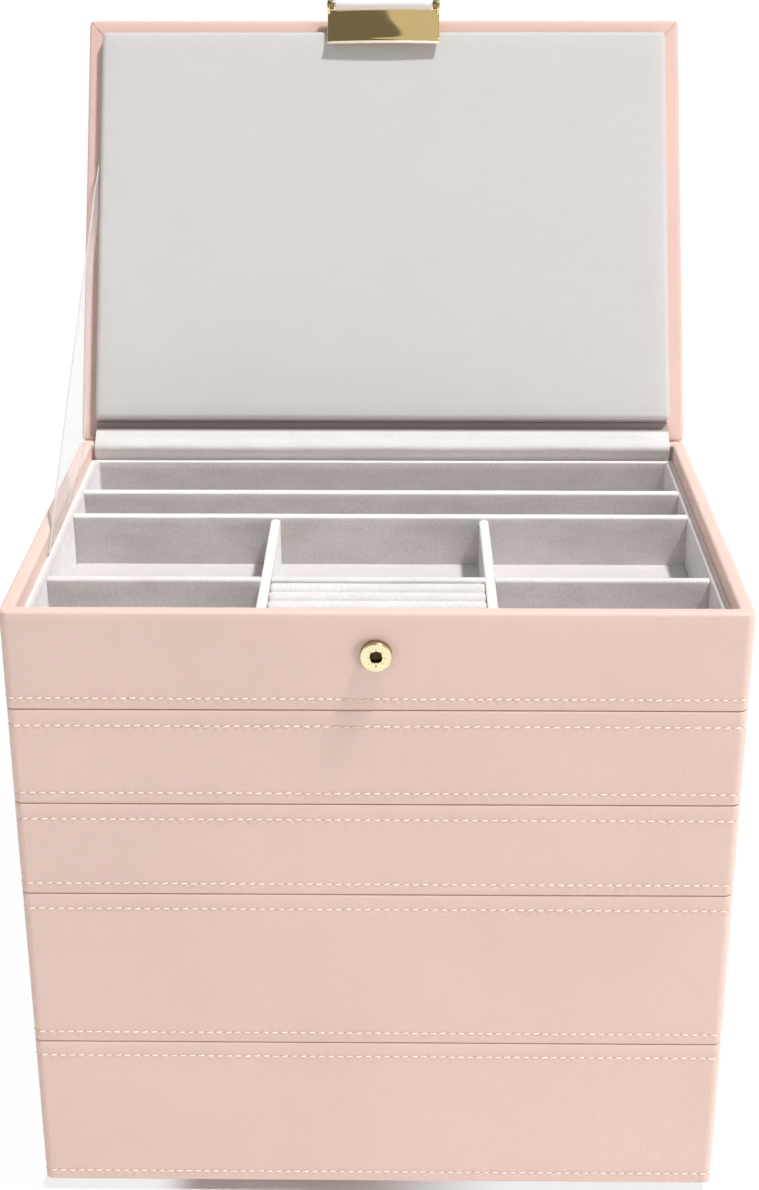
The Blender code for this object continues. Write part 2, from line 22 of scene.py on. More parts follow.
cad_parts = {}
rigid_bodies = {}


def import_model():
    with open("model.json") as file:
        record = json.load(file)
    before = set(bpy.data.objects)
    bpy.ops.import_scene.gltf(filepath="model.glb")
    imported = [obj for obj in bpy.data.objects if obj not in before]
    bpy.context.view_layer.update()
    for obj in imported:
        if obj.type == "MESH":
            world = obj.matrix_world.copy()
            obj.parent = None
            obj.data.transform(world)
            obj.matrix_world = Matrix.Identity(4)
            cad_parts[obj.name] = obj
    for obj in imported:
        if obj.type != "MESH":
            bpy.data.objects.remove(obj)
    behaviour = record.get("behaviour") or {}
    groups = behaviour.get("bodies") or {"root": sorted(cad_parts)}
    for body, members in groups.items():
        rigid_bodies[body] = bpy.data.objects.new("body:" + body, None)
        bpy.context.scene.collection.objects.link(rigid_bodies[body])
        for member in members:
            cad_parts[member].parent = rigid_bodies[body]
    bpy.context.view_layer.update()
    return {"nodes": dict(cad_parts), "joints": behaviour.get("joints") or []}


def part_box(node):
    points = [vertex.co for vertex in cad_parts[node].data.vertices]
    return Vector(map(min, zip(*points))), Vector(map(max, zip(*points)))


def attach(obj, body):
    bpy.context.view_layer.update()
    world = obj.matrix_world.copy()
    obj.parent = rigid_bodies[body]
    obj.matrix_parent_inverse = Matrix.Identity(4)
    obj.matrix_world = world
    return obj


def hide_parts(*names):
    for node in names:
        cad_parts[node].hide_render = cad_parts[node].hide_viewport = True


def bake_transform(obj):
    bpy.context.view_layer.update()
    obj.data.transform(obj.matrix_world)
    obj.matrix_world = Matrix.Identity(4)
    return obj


Array = np.ndarray
LOG = logging.getLogger("jewelry_box")
MM = 0.001
NEARLY = 1e-9
SAME_PLACE = 1e-6
SHARP_TURN = math.radians(50)
TONE = "Tone"
SEAM_MAP = "Seam"
CLOTH_MAP = "UVMap"


class Body(Enum):
    """The bodies that pieces ride on."""

    TRAY_1 = "tray_1"
    TRAY_2 = "tray_2"
    TRAY_3 = "tray_3"
    TRAY_4 = "tray_4"
    TRAY_5 = "tray_5"
    LID = "lid"
    CLASP = "clasp"


class Slot(Enum):
    """The record's material slots."""

    LEATHERETTE = "leatherette"
    BOARD = "board"
    VELVET = "velvet"
    PAD_VELVET = "pad_velvet"
    BRASS = "brass"
    RIBBON = "ribbon"
    TAB_HIDE = "tab_hide"


class Signal:
    """A shader socket with arithmetic: an expression on signals adds its Math nodes."""

    def __init__(self, graph: Graph, socket: bpy.types.NodeSocket | None) -> None:
        """Wrap an output socket of the graph."""
        self.graph = graph
        self.socket = socket

    def _math(self, operation: str, *values: Any) -> Signal:
        """Add a Math node on one or two values."""
        return self.graph.add("ShaderNodeMath", {"operation": operation}, dict(enumerate(values)))

    def __add__(self, other: Signal | float) -> Signal:
        """Sum."""
        return self._math("ADD", self, other)

    __radd__ = __add__

    def __sub__(self, other: Signal | float) -> Signal:
        """Difference."""
        return self._math("SUBTRACT", self, other)

    def __rsub__(self, other: float) -> Signal:
        """Difference from a number."""
        return self._math("SUBTRACT", other, self)

    def __mul__(self, other: Signal | float) -> Signal:
        """Product."""
        return self._math("MULTIPLY", self, other)

    __rmul__ = __mul__

    def __pow__(self, power: float) -> Signal:
        """Power."""
        return self._math("POWER", self, power)

    def __abs__(self) -> Signal:
        """Size without sign."""
        return self._math("ABSOLUTE", self)

    def fraction(self) -> Signal:
        """What is left after the whole number."""
        return self._math("FRACT", self)

    def or_more(self, other: Signal) -> Signal:
        """The greater of two signals."""
        return self._math("MAXIMUM", self, other)

    def ramp(self, low: float, high: float) -> Signal:
        """A smooth step from 0 at low to 1 at high."""
        inputs = {"Value": self, "From Min": low, "From Max": high}
        return self.graph.add("ShaderNodeMapRange", {"interpolation_type": "SMOOTHSTEP"}, inputs)


class Graph:
    """The node tree of one material or of the world, filled by expressions."""

    def __init__(self, owner: bpy.types.Material | bpy.types.World) -> None:
        """Empty the owner's tree.

        Args:
            owner: the material or the world whose tree it is.
        """
        owner.use_nodes = True
        self.tree = owner.node_tree
        self.tree.nodes.clear()

    def add(
        self,
        kind: str,
        settings: Mapping[str, Any] | None = None,
        inputs: Mapping[str | int, Any] | None = None,
        output: str | int = 0,
    ) -> Signal:
        """Add a node.

        Args:
            kind: the node's type.
            settings: its own settings, set first.
            inputs: values or signals for its sockets, by name or number.
            output: the socket that the signal reads.

        Returns:
            The signal of that output, which is empty for a node without outputs.
        """
        node = self.tree.nodes.new(kind)
        for key, value in (settings or {}).items():
            setattr(node, key, value)
        for key, value in (inputs or {}).items():
            if isinstance(value, Signal):
                self.tree.links.new(value.socket, node.inputs[key])
            else:
                node.inputs[key].default_value = value
        return Signal(self, node.outputs[output] if len(node.outputs) else None)

    def mix(self, share: Signal | float, first: Any, second: Any) -> Signal:
        """Mix two colours: the first where share is 0."""
        inputs = {0: share, 6: first, 7: second}
        return self.add("ShaderNodeMix", {"data_type": "RGBA"}, inputs, output=2)

    def parts(self, vector: Signal) -> list[Signal]:
        """A vector's x, y and z."""
        node = self.add("ShaderNodeSeparateXYZ", inputs={0: vector}).socket.node
        return [Signal(self, node.outputs[name]) for name in "XYZ"]

    def object_point(self) -> Signal:
        """The point in the object's own frame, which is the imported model's."""
        return self.add("ShaderNodeTexCoord", output="Object")

    def map_point(self, name: str) -> Signal:
        """The point on the piece's own map."""
        return self.add("ShaderNodeUVMap", {"uv_map": name})

    def tone(self) -> Signal:
        """A point's tone by its place: 1 for a painted highlight, -1 for painted shade."""
        return self.add("ShaderNodeAttribute", {"attribute_name": TONE}, output="Fac")

    def stretched(self, scale: tuple[float, float, float]) -> Signal:
        """The object point with each axis scaled."""
        return self.add("ShaderNodeMapping", inputs={"Vector": self.object_point(), "Scale": scale})

    def noise(self, scale: float, detail: float = 3.0, vector: Signal | None = None) -> Signal:
        """Noise from 0 to 1 with about this many waves to the metre."""
        inputs = {"Vector": vector or self.object_point(), "Scale": scale, "Detail": detail}
        return self.add("ShaderNodeTexNoise", inputs=inputs)

    def cells(self, scale: float) -> Signal:
        """The distance to the nearest of scattered points."""
        return self.add("ShaderNodeTexVoronoi", inputs={"Vector": self.object_point(), "Scale": scale})

    def bump(self, height: Signal, distance: float, strength: float = 1.0) -> Signal:
        """A normal from a height whose unit is distance."""
        inputs = {"Height": height, "Distance": distance, "Strength": strength}
        return self.add("ShaderNodeBump", inputs=inputs)

    def path(self, kind: str) -> Signal:
        """1 for rays of one kind."""
        return self.add("ShaderNodeLightPath", output=kind)

    def blend(self, share: Signal, first: Signal, second: Signal) -> Signal:
        """Blend two shaders: the first where share is 0."""
        return self.add("ShaderNodeMixShader", inputs={0: share, 1: first, 2: second})

    def finish(self, shader: Signal, target: str = "ShaderNodeOutputMaterial") -> None:
        """Send the shader to the output."""
        self.add(target, inputs={"Surface": shader})

    def principled(self, **inputs: Any) -> Signal:
        """The standard shader, with underscores in names for spaces."""
        named = {key.replace("_", " "): value for key, value in inputs.items()}
        return self.add("ShaderNodeBsdfPrincipled", inputs=named)


def rgba(colour: Sequence[float], gain: float | Sequence[float] = 1.0) -> tuple[float, ...]:
    """A colour with full cover, made lighter or darker by one gain or by one for each part."""
    return (*np.minimum(1.0, np.array(colour) * gain).tolist(), 1.0)


@dataclass(frozen=True)
class Finish:
    """A finish of the box. Each kind fills its own node tree."""

    name: str
    slot: Slot
    colour: tuple[float, float, float]

    def material(self) -> bpy.types.Material:
        """The finish's material, made once.

        Returns:
            The material.
        """
        made = bpy.data.materials.get(self.name)
        if made is None:
            made = bpy.data.materials.new(self.name)
            graph = Graph(made)
            graph.finish(self.shader(graph))
        return made

    def shader(self, graph: Graph) -> Signal:
        """The finish's shader, which each kind gives.

        Args:
            graph: the material's node tree.

        Returns:
            The shader's signal.
        """
        raise NotImplementedError


@dataclass(frozen=True)
class Leatherette(Finish):
    """Grained leatherette: fine pebbles with shallow valleys, and needle holes where it is sewn."""

    grain: float = 1500.0
    depth: float = 0.000042
    roughness: float = 0.52
    sewn: bool = False
    hole_radius: float = 0.085
    patches: float = 14.0

    def shader(self, graph: Graph) -> Signal:
        """Two sizes of pebble over slow patches of tone, with painted shade where the tone is negative.

        Args:
            graph: the material's node tree.

        Returns:
            The shader's signal.
        """
        pebbles = graph.cells(self.grain).ramp(0.05, 0.75)
        fine = graph.noise(self.grain * 2.2, 2.0)
        patches = graph.noise(self.patches, 3.0).ramp(0.3, 0.7)
        height = pebbles * -0.7 + fine * 0.5
        colour = graph.mix(patches, rgba(self.colour, 0.975), rgba(self.colour, 1.02))
        colour = graph.mix(pebbles * 0.07, colour, rgba(self.colour, 0.8))
        # Painted shade: a negative tone darkens the hide, on the top tray's rim and along the lid's free
        # edge.
        colour = graph.mix((0.0 - graph.tone()).ramp(0.0, 1.0), colour, rgba(self.colour, 0.5))
        if self.sewn:
            hole = self._needle_holes(graph)
            # Painted shade in each needle hole: the hide is darker there, and the bump below sinks it.
            colour = graph.mix(hole * 0.5, colour, rgba(self.colour, [c * 0.8 for c in self.colour]))
            height = height + hole * -3.0
        return graph.principled(
            Base_Color=colour,
            Roughness=fine * 0.12 + (self.roughness - 0.06),
            Specular_IOR_Level=0.35,
            Sheen_Weight=0.06,
            Normal=graph.bump(height, self.depth),
        )

    def _needle_holes(self, graph: Graph) -> Signal:
        """The needle holes. The seam map counts stitches along U, and stitch lengths off the row on V.

        Args:
            graph: the material's node tree.

        Returns:
            1 in each hole and 0 outside.
        """
        along, off, _ = graph.parts(graph.map_point(SEAM_MAP))
        near = abs((along + 0.5).fraction() - 0.5)
        reach = (near**2.0 + off**2.0) ** 0.5
        return 1.0 - reach.ramp(self.hole_radius * 0.45, self.hole_radius)


@dataclass(frozen=True)
class Velvet(Finish):
    """Short-pile velvet: a fine nap that leans in patches, with a soft sheen.

    The mottle scales how far the patches' tones part. Pale and deep are the colour's gains for a painted
    highlight on a crest and for painted shade in a gap.
    """

    sheen: float = 0.2
    creases: float = 0.00012
    mottle: float = 1.0
    pale: float = 1.24
    deep: tuple[float, float, float] = (0.50, 0.44, 0.43)
    pile: float = 2600.0
    specks: float = 900.0
    drags: float = 170.0
    leans: float = 26.0

    def shader(self, graph: Graph) -> Signal:
        """A fine nap over slow patches where the pile leans.

        Args:
            graph: the material's node tree.

        Returns:
            The shader's signal.
        """
        nap = graph.noise(self.pile, 2.0)
        lean = graph.noise(self.leans, 4.0).ramp(0.25, 0.75)
        speckle = graph.noise(self.specks, 2.0)
        drag = graph.noise(self.drags, 3.0, graph.stretched((0.35, 1.0, 1.0)))
        dark, light = 1 - 0.035 * self.mottle, 1 + 0.03 * self.mottle
        colour = graph.mix(lean, rgba(self.colour, dark), rgba(self.colour, light))
        worn = speckle.ramp(0.35, 0.65) * 0.18 + drag.ramp(0.35, 0.70) * 0.16 + nap.ramp(0.3, 0.7) * 0.12
        colour = graph.mix(worn, colour, rgba(self.colour, 1 - 0.2 * self.mottle))
        # Painted light from the tone: a painted highlight where it is positive, painted shade where it is
        # negative.
        tone = graph.tone()
        colour = graph.mix(tone.ramp(0.0, 1.0), colour, rgba(self.colour, self.pale))
        colour = graph.mix((0.0 - tone).ramp(0.0, 1.0), colour, rgba(self.colour, self.deep))
        pile = graph.bump(nap + speckle * 0.9, 0.0001, 0.5)
        creased = {"Height": drag + lean, "Distance": self.creases, "Normal": pile}
        return graph.principled(
            Base_Color=colour,
            Roughness=0.95,
            Specular_IOR_Level=0.15,
            Sheen_Weight=self.sheen,
            Sheen_Roughness=0.35,
            Normal=graph.add("ShaderNodeBump", inputs=creased),
        )


@dataclass(frozen=True)
class Plated(Finish):
    """Polished plating with faint wipe marks."""

    roughness: float = 0.10
    wipes: float = 900.0
    smears: float = 60.0

    def shader(self, graph: Graph) -> Signal:
        """Wipe marks are noise drawn out along X, over slow dull smears.

        Args:
            graph: the material's node tree.

        Returns:
            The shader's signal.
        """
        wipes = graph.noise(self.wipes, 3.0, graph.stretched((0.06, 1.0, 1.0)))
        dull = graph.noise(self.smears, 2.0).ramp(0.4, 0.8)
        return graph.principled(
            Base_Color=graph.mix(dull * 0.35, rgba(self.colour), rgba(self.colour, 0.9)),
            Metallic=1.0,
            Roughness=wipes * 0.03 + dull * 0.03 + (self.roughness - 0.03),
            Normal=graph.bump(wipes, 0.000004, 0.25),
        )


@dataclass(frozen=True)
class SheerRibbon(Finish):
    """A thin woven ribbon that lets what is behind it through, closer woven at its two edges."""

    threads: float = 4200.0
    cover: float = 0.2
    near_edge: float = 0.45
    far_edge: float = 0.12

    def shader(self, graph: Graph) -> Signal:
        """Warp and weft as crossed waves along the strip's own map.

        Args:
            graph: the material's node tree.

        Returns:
            The shader's signal.
        """
        along, across, _ = graph.parts(graph.map_point(CLOTH_MAP))
        weft = abs((along * self.threads).fraction() - 0.5)
        warp = abs((across * self.threads).fraction() - 0.5)
        near = (1.0 - across.ramp(0.0008, 0.0014)) * self.near_edge
        edge = near + across.ramp(0.0108, 0.0114) * self.far_edge
        return graph.principled(
            Base_Color=graph.mix(weft * 0.2, rgba(self.colour), rgba(self.colour, 0.9)),
            Roughness=0.5,
            Sheen_Weight=0.2,
            Alpha=edge + weft * 0.08 + (self.cover - 0.02),
            Normal=graph.bump(weft + warp, 0.00004, 0.6),
        )


@dataclass(frozen=True)
class Thread(Finish):
    """Twisted sewing thread."""

    twists: float = 5200.0

    def shader(self, graph: Graph) -> Signal:
        """The twist is a fine noise.

        Args:
            graph: the material's node tree.

        Returns:
            The shader's signal.
        """
        twist = graph.noise(self.twists, 1.0)
        return graph.principled(
            Base_Color=graph.mix(twist * 0.5, rgba(self.colour), rgba(self.colour, 0.86)),
            Roughness=0.62,
            Sheen_Weight=0.1,
            Normal=graph.bump(twist, 0.00006, 0.7),
        )


@dataclass(frozen=True)
class PaperedBoard(Finish):
    """Fibreboard faced with plain paper."""

    fibres: float = 1400.0
    clouds: float = 40.0

    def shader(self, graph: Graph) -> Signal:
        """Paper fibres drawn out along X, and faint clouds.

        Args:
            graph: the material's node tree.

        Returns:
            The shader's signal.
        """
        fibre = graph.noise(self.fibres, 4.0, graph.stretched((0.25, 1.0, 1.0)))
        clouds = graph.noise(self.clouds, 3.0)
        return graph.principled(
            Base_Color=graph.mix(clouds, rgba(self.colour, 0.94), rgba(self.colour, 1.04)),
            Roughness=fibre * 0.1 + 0.78,
            Specular_IOR_Level=0.2,
            Normal=graph.bump(fibre, 0.00005, 0.5),
        )


BLUSH = (0.812, 0.599, 0.523)
WALL_HIDE = Leatherette("blush_leatherette_sewn", Slot.LEATHERETTE, BLUSH, sewn=True)
PLAIN_HIDE = Leatherette("blush_leatherette", Slot.LEATHERETTE, BLUSH)
# A darker, more saturated copy of the blush hide for the lid: painted shade.
LID_SHADED_HIDE = Leatherette("blush_leatherette_shaded_lid", Slot.LEATHERETTE, (0.765, 0.533, 0.460))
# Dark hide for the corner fold lines: painted shade in the folds.
FOLD_SHADE_HIDE = Leatherette("fold_shade_leatherette", Slot.LEATHERETTE, (0.50, 0.31, 0.25))
TAB_HIDE = Leatherette("off_white_leatherette", Slot.TAB_HIDE, (0.86, 0.82, 0.80), grain=1900.0)
WELL_VELVET = Velvet("well_velvet", Slot.VELVET, (0.76, 0.725, 0.713), sheen=0.9, mottle=2.3)
LINING_VELVET = Velvet("lining_velvet", Slot.VELVET, (0.75, 0.722, 0.71), sheen=0.9, creases=0.0005)
# A darker copy of the well velvet for the floors: painted shade.
FLOOR_SHADED_VELVET = Velvet("floor_shaded_velvet", Slot.VELVET, (0.665, 0.632, 0.618), sheen=0.8)
LID_VELVET = Velvet(
    "lid_velvet", Slot.PAD_VELVET, (0.622, 0.597, 0.583), sheen=0.3, creases=0.00004, mottle=0.3
)
PLATED = Plated("gold_plating", Slot.BRASS, (0.90, 0.71, 0.37))
MIRROR_PLATED = Plated("mirror_gold_plating", Slot.BRASS, (0.94, 0.71, 0.32), roughness=0.055)
PALE_PLATED = Plated("pale_gold_plating", Slot.BRASS, (0.99, 0.90, 0.58), roughness=0.14)
# Pale plating for the flap's lip: a painted highlight, with real brushing in its roughness.
LIP_HIGHLIGHT_PLATED = Plated("brushed_highlight_plating", Slot.BRASS, (1.0, 0.93, 0.76), roughness=0.42)
# Dark plating for the flap's barrels and the socket's side: a painted dark reflection.
DARK_REFLECTION_PLATED = Plated("dark_reflection_plating", Slot.BRASS, (0.36, 0.26, 0.12), roughness=0.30)
# Dark plating for the plug in the socket's hole: painted shade over the socket's own dark cavity.
DARK_SOCKET = Plated("dark_socket", Slot.BRASS, (0.075, 0.05, 0.022), roughness=0.45)
RIBBON = SheerRibbon("sheer_ribbon", Slot.RIBBON, (0.71, 0.703, 0.707))
THREAD = Thread("cream_thread", Slot.LEATHERETTE, (1.0, 0.82, 0.73))
BOARD = PaperedBoard("papered_board", Slot.BOARD, (0.62, 0.44, 0.37))


@dataclass
class Surface:
    """A mesh in the making: points with tones, faces, and a UV pair for each corner of each face."""

    points: list[Array] = field(default_factory=list)
    tones: list[Array] = field(default_factory=list)
    faces: list[list[int]] = field(default_factory=list)
    maps: dict[str, list[Array]] = field(default_factory=dict)
    count: int = 0

    def add(
        self,
        points: Array,
        faces: Sequence[Array],
        maps: Mapping[str, Array] | None = None,
        tone: Array | None = None,
    ) -> Surface:
        """Add one closed shell, turned so that its faces point out.

        Args:
            points: one row for each point.
            faces: arrays of point numbers, one array for each count of corners.
            maps: for each map's name, a pair for each corner in the order of the faces.
            tone: for each point, 1 for a painted highlight and -1 for painted shade.

        Returns:
            The surface itself.
        """
        turned_in = signed_volume(points, faces) < 0
        for block in faces:
            block = block[:, ::-1] if turned_in else block
            self.faces.extend((block + self.count).tolist())
        for name, corners in (maps or {}).items():
            corners = flip_corners(corners, faces) if turned_in else corners
            self.maps.setdefault(name, []).append(corners)
        self.points.append(points)
        self.tones.append(np.zeros(len(points)) if tone is None else tone)
        self.count += len(points)
        return self

    def build(
        self,
        name: str,
        finish: Finish,
        body: Body | None = None,
        node: str | None = None,
        weld: bool = False,
    ) -> bpy.types.Object:
        """Make the object, smooth, with its finish.

        Args:
            name: the piece's name.
            finish: its finish.
            body: the body that it rides on, or None where it bends between two.
            node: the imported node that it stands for, if any.
            weld: whether points in one place are merged.

        Returns:
            The object, at the origin.
        """
        mesh = bpy.data.meshes.new(name)
        mesh.from_pydata(np.concatenate(self.points).tolist(), [], self.faces)
        for map_name, blocks in self.maps.items():
            layer = mesh.uv_layers.new(name=map_name)
            layer.data.foreach_set("uv", np.concatenate(blocks).astype(np.float32).ravel())
        if isinstance(finish, (Velvet, Leatherette)):
            tone = mesh.attributes.new(TONE, "FLOAT", "POINT")
            tone.data.foreach_set("value", np.concatenate(self.tones).astype(np.float32))
        if weld:
            weld_points(mesh)
        mesh.shade_smooth()
        mesh.set_sharp_from_angle(angle=SHARP_TURN)
        mesh.materials.append(finish.material())
        obj = bpy.data.objects.new(name, mesh)
        bpy.context.scene.collection.objects.link(obj)
        if node is not None:
            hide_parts(node)
        if body is not None:
            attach(obj, body.value)
        return obj


def crest(heights: Array, top: float, reach: float) -> Array:
    """The tone of a painted highlight on a crest: 1 at the top, falling evenly to 0 at a reach below it."""
    return np.clip(1.15 - (top - heights) / reach, 0, 1)


def signed_volume(points: Array, faces: Sequence[Array]) -> float:
    """The volume inside the faces, each cut into a fan of triangles.

    Args:
        points: one row for each point.
        faces: arrays of point numbers.

    Returns:
        The volume, which is negative where the faces point in.
    """
    total = 0.0
    for block in faces:
        corner = points[block]
        for i in range(1, block.shape[1] - 1):
            cross = np.cross(corner[:, i], corner[:, i + 1])
            total += float(np.einsum("ij,ij->", corner[:, 0], cross))
    return total / 6


def flip_corners(corners: Array, faces: Sequence[Array]) -> Array:
    """Put the corner pairs of the same faces in the other order.

    Args:
        corners: a pair for each corner of each face.
        faces: arrays of point numbers.

    Returns:
        The pairs, each face's from last to first.
    """
    blocks, start = [], 0
    for block in faces:
        rows, size = block.shape
        part = corners[start : start + rows * size].reshape(rows, size, 2)
        blocks.append(part[:, ::-1].reshape(-1, 2))
        start += rows * size
    return np.concatenate(blocks)


def weld_points(mesh: bpy.types.Mesh) -> None:
    """Merge points in one place.

    Args:
        mesh: the mesh to weld.
    """
    bm = bmesh.new()
    bm.from_mesh(mesh)
    bmesh.ops.remove_doubles(bm, verts=bm.verts, dist=SAME_PLACE)
    bm.to_mesh(mesh)
    bm.free()


def grid_faces(rows: int, columns: int, wrap_rows: bool = False, wrap_columns: bool = False) -> Array:
    """The four-cornered faces of a grid whose points are numbered row by row.

    Args:
        rows: how many rows of points there are.
        columns: how many points there are in a row.
        wrap_rows: whether the last row joins the first.
        wrap_columns: whether each row closes on itself.

    Returns:
        Four point numbers for each face.
    """
    last_row = rows if wrap_rows else rows - 1
    last_column = columns if wrap_columns else columns - 1
    i, j = np.meshgrid(np.arange(last_row), np.arange(last_column), indexing="ij")
    i2, j2 = (i + 1) % rows, (j + 1) % columns
    corners = [i * columns + j, i2 * columns + j, i2 * columns + j2, i * columns + j2]
    return np.stack(corners, -1).reshape(-1, 4)


def end_caps(rows: int, columns: int) -> Array:
    """The two faces that close a tube of so many rows, each a ring of so many points."""
    return np.array([np.arange(columns)[::-1], (rows - 1) * columns + np.arange(columns)])


def grid_map(u: Array, v: Array) -> Array:
    """The corner pairs of a grid's faces.

    Args:
        u: where its rows lie, one more than there are faces along.
        v: where its columns lie, one more than there are faces across.

    Returns:
        A pair for each corner of each face.
    """
    i, j = np.meshgrid(np.arange(len(u) - 1), np.arange(len(v) - 1), indexing="ij")
    us = np.stack([u[i], u[i + 1], u[i + 1], u[i]], -1)
    vs = np.stack([v[j], v[j], v[j + 1], v[j + 1]], -1)
    return np.stack([us, vs], -1).reshape(-1, 2)


RUNS = 9
ARC_RUNS = (1, 3, 5, 7)


@dataclass(frozen=True)
class Loop:
    """A rounded rectangle in plan, from the middle of its back, turning left.

    It has nine runs: half the back, then a corner and a side in turn, and the other half of the back.
    """

    half_x: float
    half_y: float
    radius: float

    def lengths(self) -> Array:
        """The runs' lengths."""
        x, y, arc = self.half_x - self.radius, self.half_y - self.radius, self.radius * math.pi / 2
        return np.array([x, arc, 2 * y, arc, 2 * x, arc, 2 * y, arc, x])

    def _runs(self, at: Array) -> tuple[Array, Array]:
        """The run that each distance round the loop falls in, and its share of that run.

        Args:
            at: distances round the loop.

        Returns:
            The runs' numbers and the shares.
        """
        ends = np.concatenate([[0.0], np.cumsum(self.lengths())])
        run = np.clip(np.searchsorted(ends, at + NEARLY, side="right") - 1, 0, RUNS - 1)
        return run, (at - ends[run]) / self.lengths()[run]

    def places(self, marks: Array, arc_steps: int = 8) -> Array:
        """Distances round the loop at the marks, at the runs' ends and evenly round each corner.

        Args:
            marks: distances that it has to have.
            arc_steps: the steps of each corner.

        Returns:
            The distances, without the last, which is the first again.
        """
        ends = np.concatenate([[0.0], np.cumsum(self.lengths())])
        arcs = [np.linspace(ends[k], ends[k + 1], arc_steps + 1) for k in ARC_RUNS]
        at = np.concatenate([marks, *arcs, ends])
        return np.unique(np.round(at[at < ends[-1] - 1e-7], 7))

    def at(self, at: Array) -> tuple[Array, Array]:
        """Places round the loop: a straight run goes from end to end, and a corner turns a quarter.

        Args:
            at: distances round the loop.

        Returns:
            The points and their outward normals.
        """
        run, share = self._runs(at)
        return self.point(run, share)

    def point(self, run: Array, share: Array) -> tuple[Array, Array]:
        """Places given by run and share.

        Args:
            run: each place's run.
            share: how much of the run lies behind it.

        Returns:
            The points and their outward normals.
        """
        x, y, r = self.half_x, self.half_y, self.radius
        a, b = x - r, y - r
        centres = np.array([[0, 0], [-a, b], [0, 0], [-a, -b], [0, 0], [a, -b], [0, 0], [a, b], [0, 0]])
        starts = np.array([[0, y], [0, 0], [-x, b], [0, 0], [-a, -y], [0, 0], [x, -b], [0, 0], [a, y]])
        ends = np.array([[-a, y], [0, 0], [-x, -b], [0, 0], [a, -y], [0, 0], [x, b], [0, 0], [0, y]])
        quarter = np.array([1, 1, 2, 2, 3, 3, 4, 4, 5])[run]
        arc = np.isin(run, ARC_RUNS)
        angle = (quarter + np.where(arc, share, 0)) * math.pi / 2
        normal = np.stack([np.cos(angle), np.sin(angle)], -1)
        line = starts[run] + share[:, None] * (ends[run] - starts[run])
        return np.where(arc[:, None], centres[run] + r * normal, line), normal

    def between(self, inner: Loop, at: Array, across: Array, push: Array, level: Array) -> Array:
        """Carry a section round this loop and an inner one.

        Args:
            inner: the loop inside this one, with its runs in step.
            at: distances round this loop.
            across: for each point of the section, its share of the way to the inner loop.
            push: how far each point then moves out, by place and point of the section.
            level: the points' heights, by point of the section or by place too.

        Returns:
            The points, row by row.
        """
        run, share = self._runs(at)
        (point_out, normal), (point_in, _) = self.point(run, share), inner.point(run, share)
        across = across[None, :, None]
        plan = point_out[:, None] * (1 - across) + point_in[:, None] * across
        plan = plan + normal[:, None] * push[..., None]
        z = np.broadcast_to(level, plan.shape[:2])[..., None]
        return np.concatenate([plan, z], -1).reshape(-1, 3)


def quarter_turn(
    centre: tuple[float, float], radius: float, start: float, steps: int, sweep: float = -90
) -> Array:
    """Points on an arc: an even turn of the given sweep from the start angle, in degrees."""
    angle = np.radians(start + sweep * np.arange(steps + 1) / steps)
    return np.array(centre) + radius * np.stack([np.cos(angle), np.sin(angle)], -1)


def circle(radius: float, steps: int, centre: tuple[float, float] = (0.0, 0.0)) -> Array:
    """A closed circle of so many points."""
    return quarter_turn(centre, radius, 0, steps, 360)[:-1]


def round_path(points: Sequence[Sequence[float]], passes: int = 3) -> Array:
    """Cut a path's corners: each pass puts two points at a quarter and three quarters of each leg.

    Args:
        points: the path's corners.
        passes: how often they are cut.

    Returns:
        The rounded path, with its ends in place.
    """
    path = np.array([tuple(point) for point in points], float)
    for _ in range(passes):
        near = path[:-1] * 0.75 + path[1:] * 0.25
        far = path[:-1] * 0.25 + path[1:] * 0.75
        middle = np.stack([near, far], 1).reshape(-1, 2)
        path = np.concatenate([path[:1], middle, path[-1:]])
    return path


def path_normals(path: Array, closed: bool = False) -> Array:
    """Unit normals to the right of a path in its plane, from the points before and after.

    Args:
        path: the path's points.
        closed: whether its end joins its start.

    Returns:
        A normal for each point.
    """
    along = np.roll(path, -1, 0) - np.roll(path, 1, 0) if closed else np.gradient(path, axis=0)
    along /= np.linalg.norm(along, axis=1, keepdims=True)
    return np.stack([along[:, 1], -along[:, 0]], -1)


def strip_section(path: Array, thickness: float, end_steps: int = 4) -> Array:
    """The closed section of a strip that follows a path, with half-round ends.

    Args:
        path: the middle of the strip.
        thickness: the strip's thickness.
        end_steps: the steps of each end.

    Returns:
        The section's points.
    """
    normal = path_normals(path) * thickness / 2
    first = math.degrees(math.atan2(normal[0, 1], normal[0, 0]))
    last = math.degrees(math.atan2(normal[-1, 1], normal[-1, 0]))
    head = quarter_turn(tuple(path[-1]), thickness / 2, last, end_steps, 180)[1:-1]
    tail = quarter_turn(tuple(path[0]), thickness / 2, first + 180, end_steps, 180)[1:-1]
    return np.concatenate([path + normal, head, (path - normal)[::-1], tail])


def crowned_section(crown: Array, half: float, top: float, low: float, steps: int) -> Array:
    """A board's closed section: a crown, and straight sides from it down to a flat foot.

    Args:
        crown: the crown's points, from left to right.
        half: half the board's thickness.
        top: where its sides start.
        low: where they end.
        steps: the steps of each side.

    Returns:
        The section's points.
    """
    down = np.linspace(top, low, steps + 1)[1:]
    right = np.stack([np.full(steps, half), down], -1)
    return np.concatenate([crown, right, right[::-1] * [-1, 1]])


